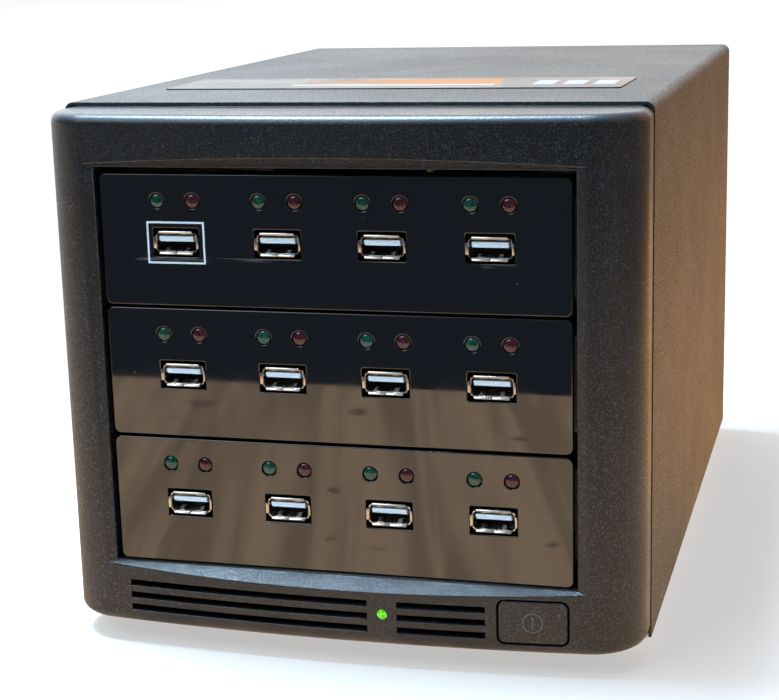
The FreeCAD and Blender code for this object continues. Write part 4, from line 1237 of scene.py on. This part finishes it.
def screw_head_mesh(radius, high):
    """A hexagon washer head with a cross recess, its underside at y 0 and its top at +y."""
    sides = 36
    rings = []
    for y, share in ((0.0, 1.0), (0.22, 1.0), (0.26, 0.9), (0.86, 0.9), (1.0, 0.8)):
        ring = []
        for i in range(sides):
            turn = 2 * math.pi * i / sides
            reach = radius
            if share < 1.0:
                flat = math.cos(math.pi / 6) / math.cos((turn % (math.pi / 3)) - math.pi / 6)
                reach = radius * share * min(flat, 0.985)
            ring.append((reach * math.cos(turn), high * y, reach * math.sin(turn)))
        rings.append(ring)
    arm, reach, deep = radius * 0.14, radius * 0.52, high * 0.5
    cross = ((arm, arm), (arm, reach), (-arm, reach), (-arm, arm), (-reach, arm), (-reach, -arm),
             (-arm, -arm), (-arm, -reach), (arm, -reach), (arm, -arm), (reach, -arm), (reach, arm))
    knife = linked("knife", tube([[(x, high + side * deep, z) for x, z in cross]
                                  for side in (-1, 1)]))
    head = linked("head", tube(rings))
    modify(head, "BOOLEAN", operation="DIFFERENCE", solver="EXACT", object=knife)
    mesh = final_mesh(head)
    bpy.data.objects.remove(knife)
    return smooth(mesh, CREASE)


class DUPLICATOR_OT_screws(bpy.types.Operator):
    """Build the screws on the back"""

    bl_idname = "duplicator.screws"
    bl_label = "Screws"

    def execute(self, context):
        for node, finish, under in (("cover_screws", "black_screws", "outer_cover"),
                                    ("fan_screws", "black_screws", "rear_panel"),
                                    ("psu_screws", "zinc_screws", "rear_panel")):
            low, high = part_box(node)
            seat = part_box(under)[1].y
            end = low.y - seat
            shank = spun([(end, 0.0), (end, SHANK_RADIUS), (0.0, SHANK_RADIUS)], SHANK_SIDES)
            screw = joined([screw_head_mesh(SCREW_HEAD_RADIUS, high.y - seat), shank])
            spots = [(p.x, seat, p.z) for p in island_middles(node)]
            placed(f"{node}_set", repeated("spots", screw, finish, spots), finish, [node])
        return {"FINISHED"}


class DUPLICATOR_OT_feet(bpy.types.Operator):
    """Build the four rubber feet"""

    bl_idname = "duplicator.feet"
    bl_label = "Rubber feet"

    def execute(self, context):
        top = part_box("rubber_feet")[1].z
        profile = [(0.0, 0.0), (0.0, 6.9 * MM), (0.25 * MM, 7.6 * MM), (0.8 * MM, 8.1 * MM),
                   (top - 0.6 * MM, 8.85 * MM), (top - 0.15 * MM, 8.8 * MM), (top, 8.5 * MM),
                   (top, 0.0)]
        spots = [(p.x, p.y, 0.0) for p in island_middles("rubber_feet")]
        mesh = repeated("spots", spun(profile, HUB_SIDES, along="Z"), "rubber", spots)
        placed("feet_set", mesh, "rubber", ["rubber_feet"])
        return {"FINISHED"}


# ---- Stage ----

SOFTBOXES = (  # name, place, target, sides, power, tone
    ("key", (-0.9, -1.1, 1.5), (0, -0.05, 0.08), (1.1, 1.1), 12, (0.80, 0.90, 1.0)),
    ("top", (-0.46, 0.02, 1.6), (0, -0.1, 0.1), (0.55, 0.6), 84, (0.56, 0.79, 1.0)),
    ("fill", (1.6, -0.6, 0.9), (0, 0, 0.08), (0.9, 0.9), 3, (1.0, 0.74, 0.48)),
)


def softbox(name, place, target, size, power, tone):
    lamp = bpy.data.lights.new(name, "AREA")
    lamp.shape = "RECTANGLE"
    lamp.size, lamp.size_y = size
    lamp.energy = power
    lamp.color = tone
    made = linked(name, lamp)
    facing = (Vector(target) - Vector(place)).to_track_quat("-Z", "Y")
    made.matrix_world = Matrix.Translation(Vector(place)) @ facing.to_matrix().to_4x4()
    made.visible_camera = False


def room_light():
    """A plain room: dim in front of the object, pale behind it and warm on its right."""
    world = bpy.data.worlds.new("Room")
    world.use_nodes = True
    made = Nodes(world.node_tree)
    ground = world.node_tree.nodes["Background"]
    way = made.split(made.add("ShaderNodeTexCoord").outputs["Generated"])
    behind = made.ramp(way["Y"], 0.1, 0.7)
    right = made.ramp(way["X"], 0.05, 0.4)
    left = made.ramp(way["X"], -0.12, -0.42)
    above = made.ramp(way["Z"], 0.35, 0.95)
    pale = made.mix(left, (0.87, 0.76, 0.66), (0.97, 1.0, 1.0))
    pale = made.mix(right, pale, (0.38, 0.23, 0.12))
    shade = made.mix(behind, (0.02, 0.025, 0.034), pale)
    shade = made.mix(above, shade, (0.11, 0.15, 0.21))
    seen = made.add("ShaderNodeLightPath").outputs["Is Camera Ray"]
    made.put(made.mix(seen, shade, (0.404, 0.404, 0.404)), ground.inputs["Color"])
    made.put(2.4, ground.inputs["Strength"])
    bpy.context.scene.world = world


def painted_table_reflection(made, stage, place):
    """The glow that shiny surfaces see of the floor, a painted reflection: a warm table that is deeper behind."""
    turned = made.add("ShaderNodeMapping", {"Vector": place, "Rotation": (0.0, 0.0, 0.27)})
    figure = made.noise(1.0, 4.0, made.stretched(turned.outputs[0], 60.0, 3.0, 1.0),
                        Distortion=0.7)
    table = made.mix(made.ramp(figure, 0.35, 0.65), tint(stage.mirrored, 0.62), stage.mirrored)
    knot = made.ramp(made.noise(34.0, 2.0, place), 0.66, 0.74)
    table = made.mix(knot, table, tint(stage.mirrored, 0.4))
    where = made.split(place)
    behind = made.ramp(where["Y"], -0.05, 0.15)
    beside = made.ramp(where["X"], -0.05, 0.12)
    deep = made.mix(beside, (0.62, 0.58, 0.54), (1.2, 0.64, 0.29))
    table = made.mix(behind, table, deep)
    return made.mix(made.ramp(where["X"], 0.38, 0.58), table, (0.02, 0.018, 0.016))


def pale_floor(stage):
    """A plain pale floor that fades to the backdrop, and glows with a painted table reflection for shiny surfaces.
    """
    made = Finish("Pale floor", Roughness=0.8, Specular_IOR_Level=0.2)
    place = made.place()
    rays = made.add("ShaderNodeLightPath").outputs
    mirrored = rays["Is Glossy Ray"]
    away = made.add("ShaderNodeVectorMath", {0: made.stretched(place, 1.0, 0.65, 1.0)},
                    operation="LENGTH").outputs["Value"]
    fade = made.times(made.ramp(away, 0.12, 0.3, 0.5), rays["Is Camera Ray"])
    mottle = made.noise(2.0, 3.0, place)
    base = made.mix(mottle, tint(stage.floor, 0.97), stage.floor)
    glowing = made.math("MAXIMUM", fade, mirrored)
    # Glossy rays see the floor glow: a painted reflection, not lit by the lamps.
    made.feed(Base_Color=made.mix(glowing, base, (0.0, 0.0, 0.0)),
              Emission_Color=made.mix(mirrored, stage.backdrop, painted_table_reflection(made, stage, place)),
              Emission_Strength=made.plus(fade, made.times(mirrored, 1.4)))
    return made.material


def camera_matrix(stage):
    """The camera's matrix from its place, yaw, pitch and roll."""
    forward = Vector((math.sin(stage.yaw) * math.cos(stage.pitch),
                      math.cos(stage.yaw) * math.cos(stage.pitch), math.sin(stage.pitch)))
    level = forward.cross(Vector((0, 0, 1))).normalized()
    upright = level.cross(forward)
    right = level * math.cos(stage.roll) + upright * math.sin(stage.roll)
    up = upright * math.cos(stage.roll) - level * math.sin(stage.roll)
    turn = Matrix((right, up, -forward)).transposed().to_4x4()
    return Matrix.Translation(Vector(stage.camera_place)) @ turn


class DUPLICATOR_OT_stage(bpy.types.Operator):
    """Lay the floor, hang the lights and set up the camera"""

    bl_idname = "duplicator.stage"
    bl_label = "Stage"

    def execute(self, context):
        stage = context.scene.duplicator_stage
        half = stage.floor_side / 2
        near, far = PANEL_FRONT - stage.floor_front, stage.floor_side
        mesh = bpy.data.meshes.new("floor")
        mesh.from_pydata([(-half, near, 0), (half, near, 0), (half, far, 0), (-half, far, 0)],
                         [], [(0, 1, 2, 3)])
        mesh.materials.append(pale_floor(stage))
        linked("floor", mesh)
        for settings in SOFTBOXES:
            softbox(*settings)
        room_light()
        lens_data = bpy.data.cameras.new("camera")
        lens_data.lens = stage.lens
        lens_data.sensor_width = 36.0
        lens_data.clip_start = 0.01
        camera = linked("camera", lens_data)
        camera.matrix_world = camera_matrix(stage)
        context.scene.camera = camera
        context.scene.view_settings.view_transform = "Standard"
        return {"FINISHED"}


# ---- Panel and registration ----

OPERATORS = (
    DUPLICATOR_OT_finishes, DUPLICATOR_OT_case_metal, DUPLICATOR_OT_bezel,
    DUPLICATOR_OT_port_panels, DUPLICATOR_OT_usb_ports, DUPLICATOR_OT_indicators,
    DUPLICATOR_OT_power_button, DUPLICATOR_OT_top_label, DUPLICATOR_OT_fans,
    DUPLICATOR_OT_rear_power, DUPLICATOR_OT_screws, DUPLICATOR_OT_feet, DUPLICATOR_OT_stage,
)

SETTINGS = (
    ("duplicator_sizes", DUPLICATOR_PG_sizes),
    ("duplicator_colours", DUPLICATOR_PG_colours),
    ("duplicator_fans", DUPLICATOR_PG_fans),
    ("duplicator_stage", DUPLICATOR_PG_stage),
)


class DUPLICATOR_PT_panel(bpy.types.Panel):
    """Lists the settings and the steps that build the looks"""

    bl_label = "Stick duplicator"
    bl_idname = "DUPLICATOR_PT_panel"
    bl_space_type = "VIEW_3D"
    bl_region_type = "UI"
    bl_category = "Duplicator"

    def draw(self, context):
        layout = self.layout
        for attribute, group in SETTINGS:
            column = layout.column(align=True)
            column.label(text=group.__doc__)
            for name in group.__annotations__:
                column.prop(getattr(context.scene, attribute), name)
        for step in OPERATORS:
            layout.operator(step.bl_idname)


CLASSES = tuple(group for _, group in SETTINGS) + OPERATORS + (DUPLICATOR_PT_panel,)


def register():
    for cls in CLASSES:
        bpy.utils.register_class(cls)
    for attribute, group in SETTINGS:
        setattr(bpy.types.Scene, attribute, bpy.props.PointerProperty(type=group))


def unregister():
    for attribute, _ in SETTINGS:
        delattr(bpy.types.Scene, attribute)
    for cls in reversed(CLASSES):
        bpy.utils.unregister_class(cls)


def main():
    register()
    for step in OPERATORS:
        space, name = step.bl_idname.split(".")
        getattr(getattr(bpy.ops, space), name)()


if __name__ == "__main__":
    main()
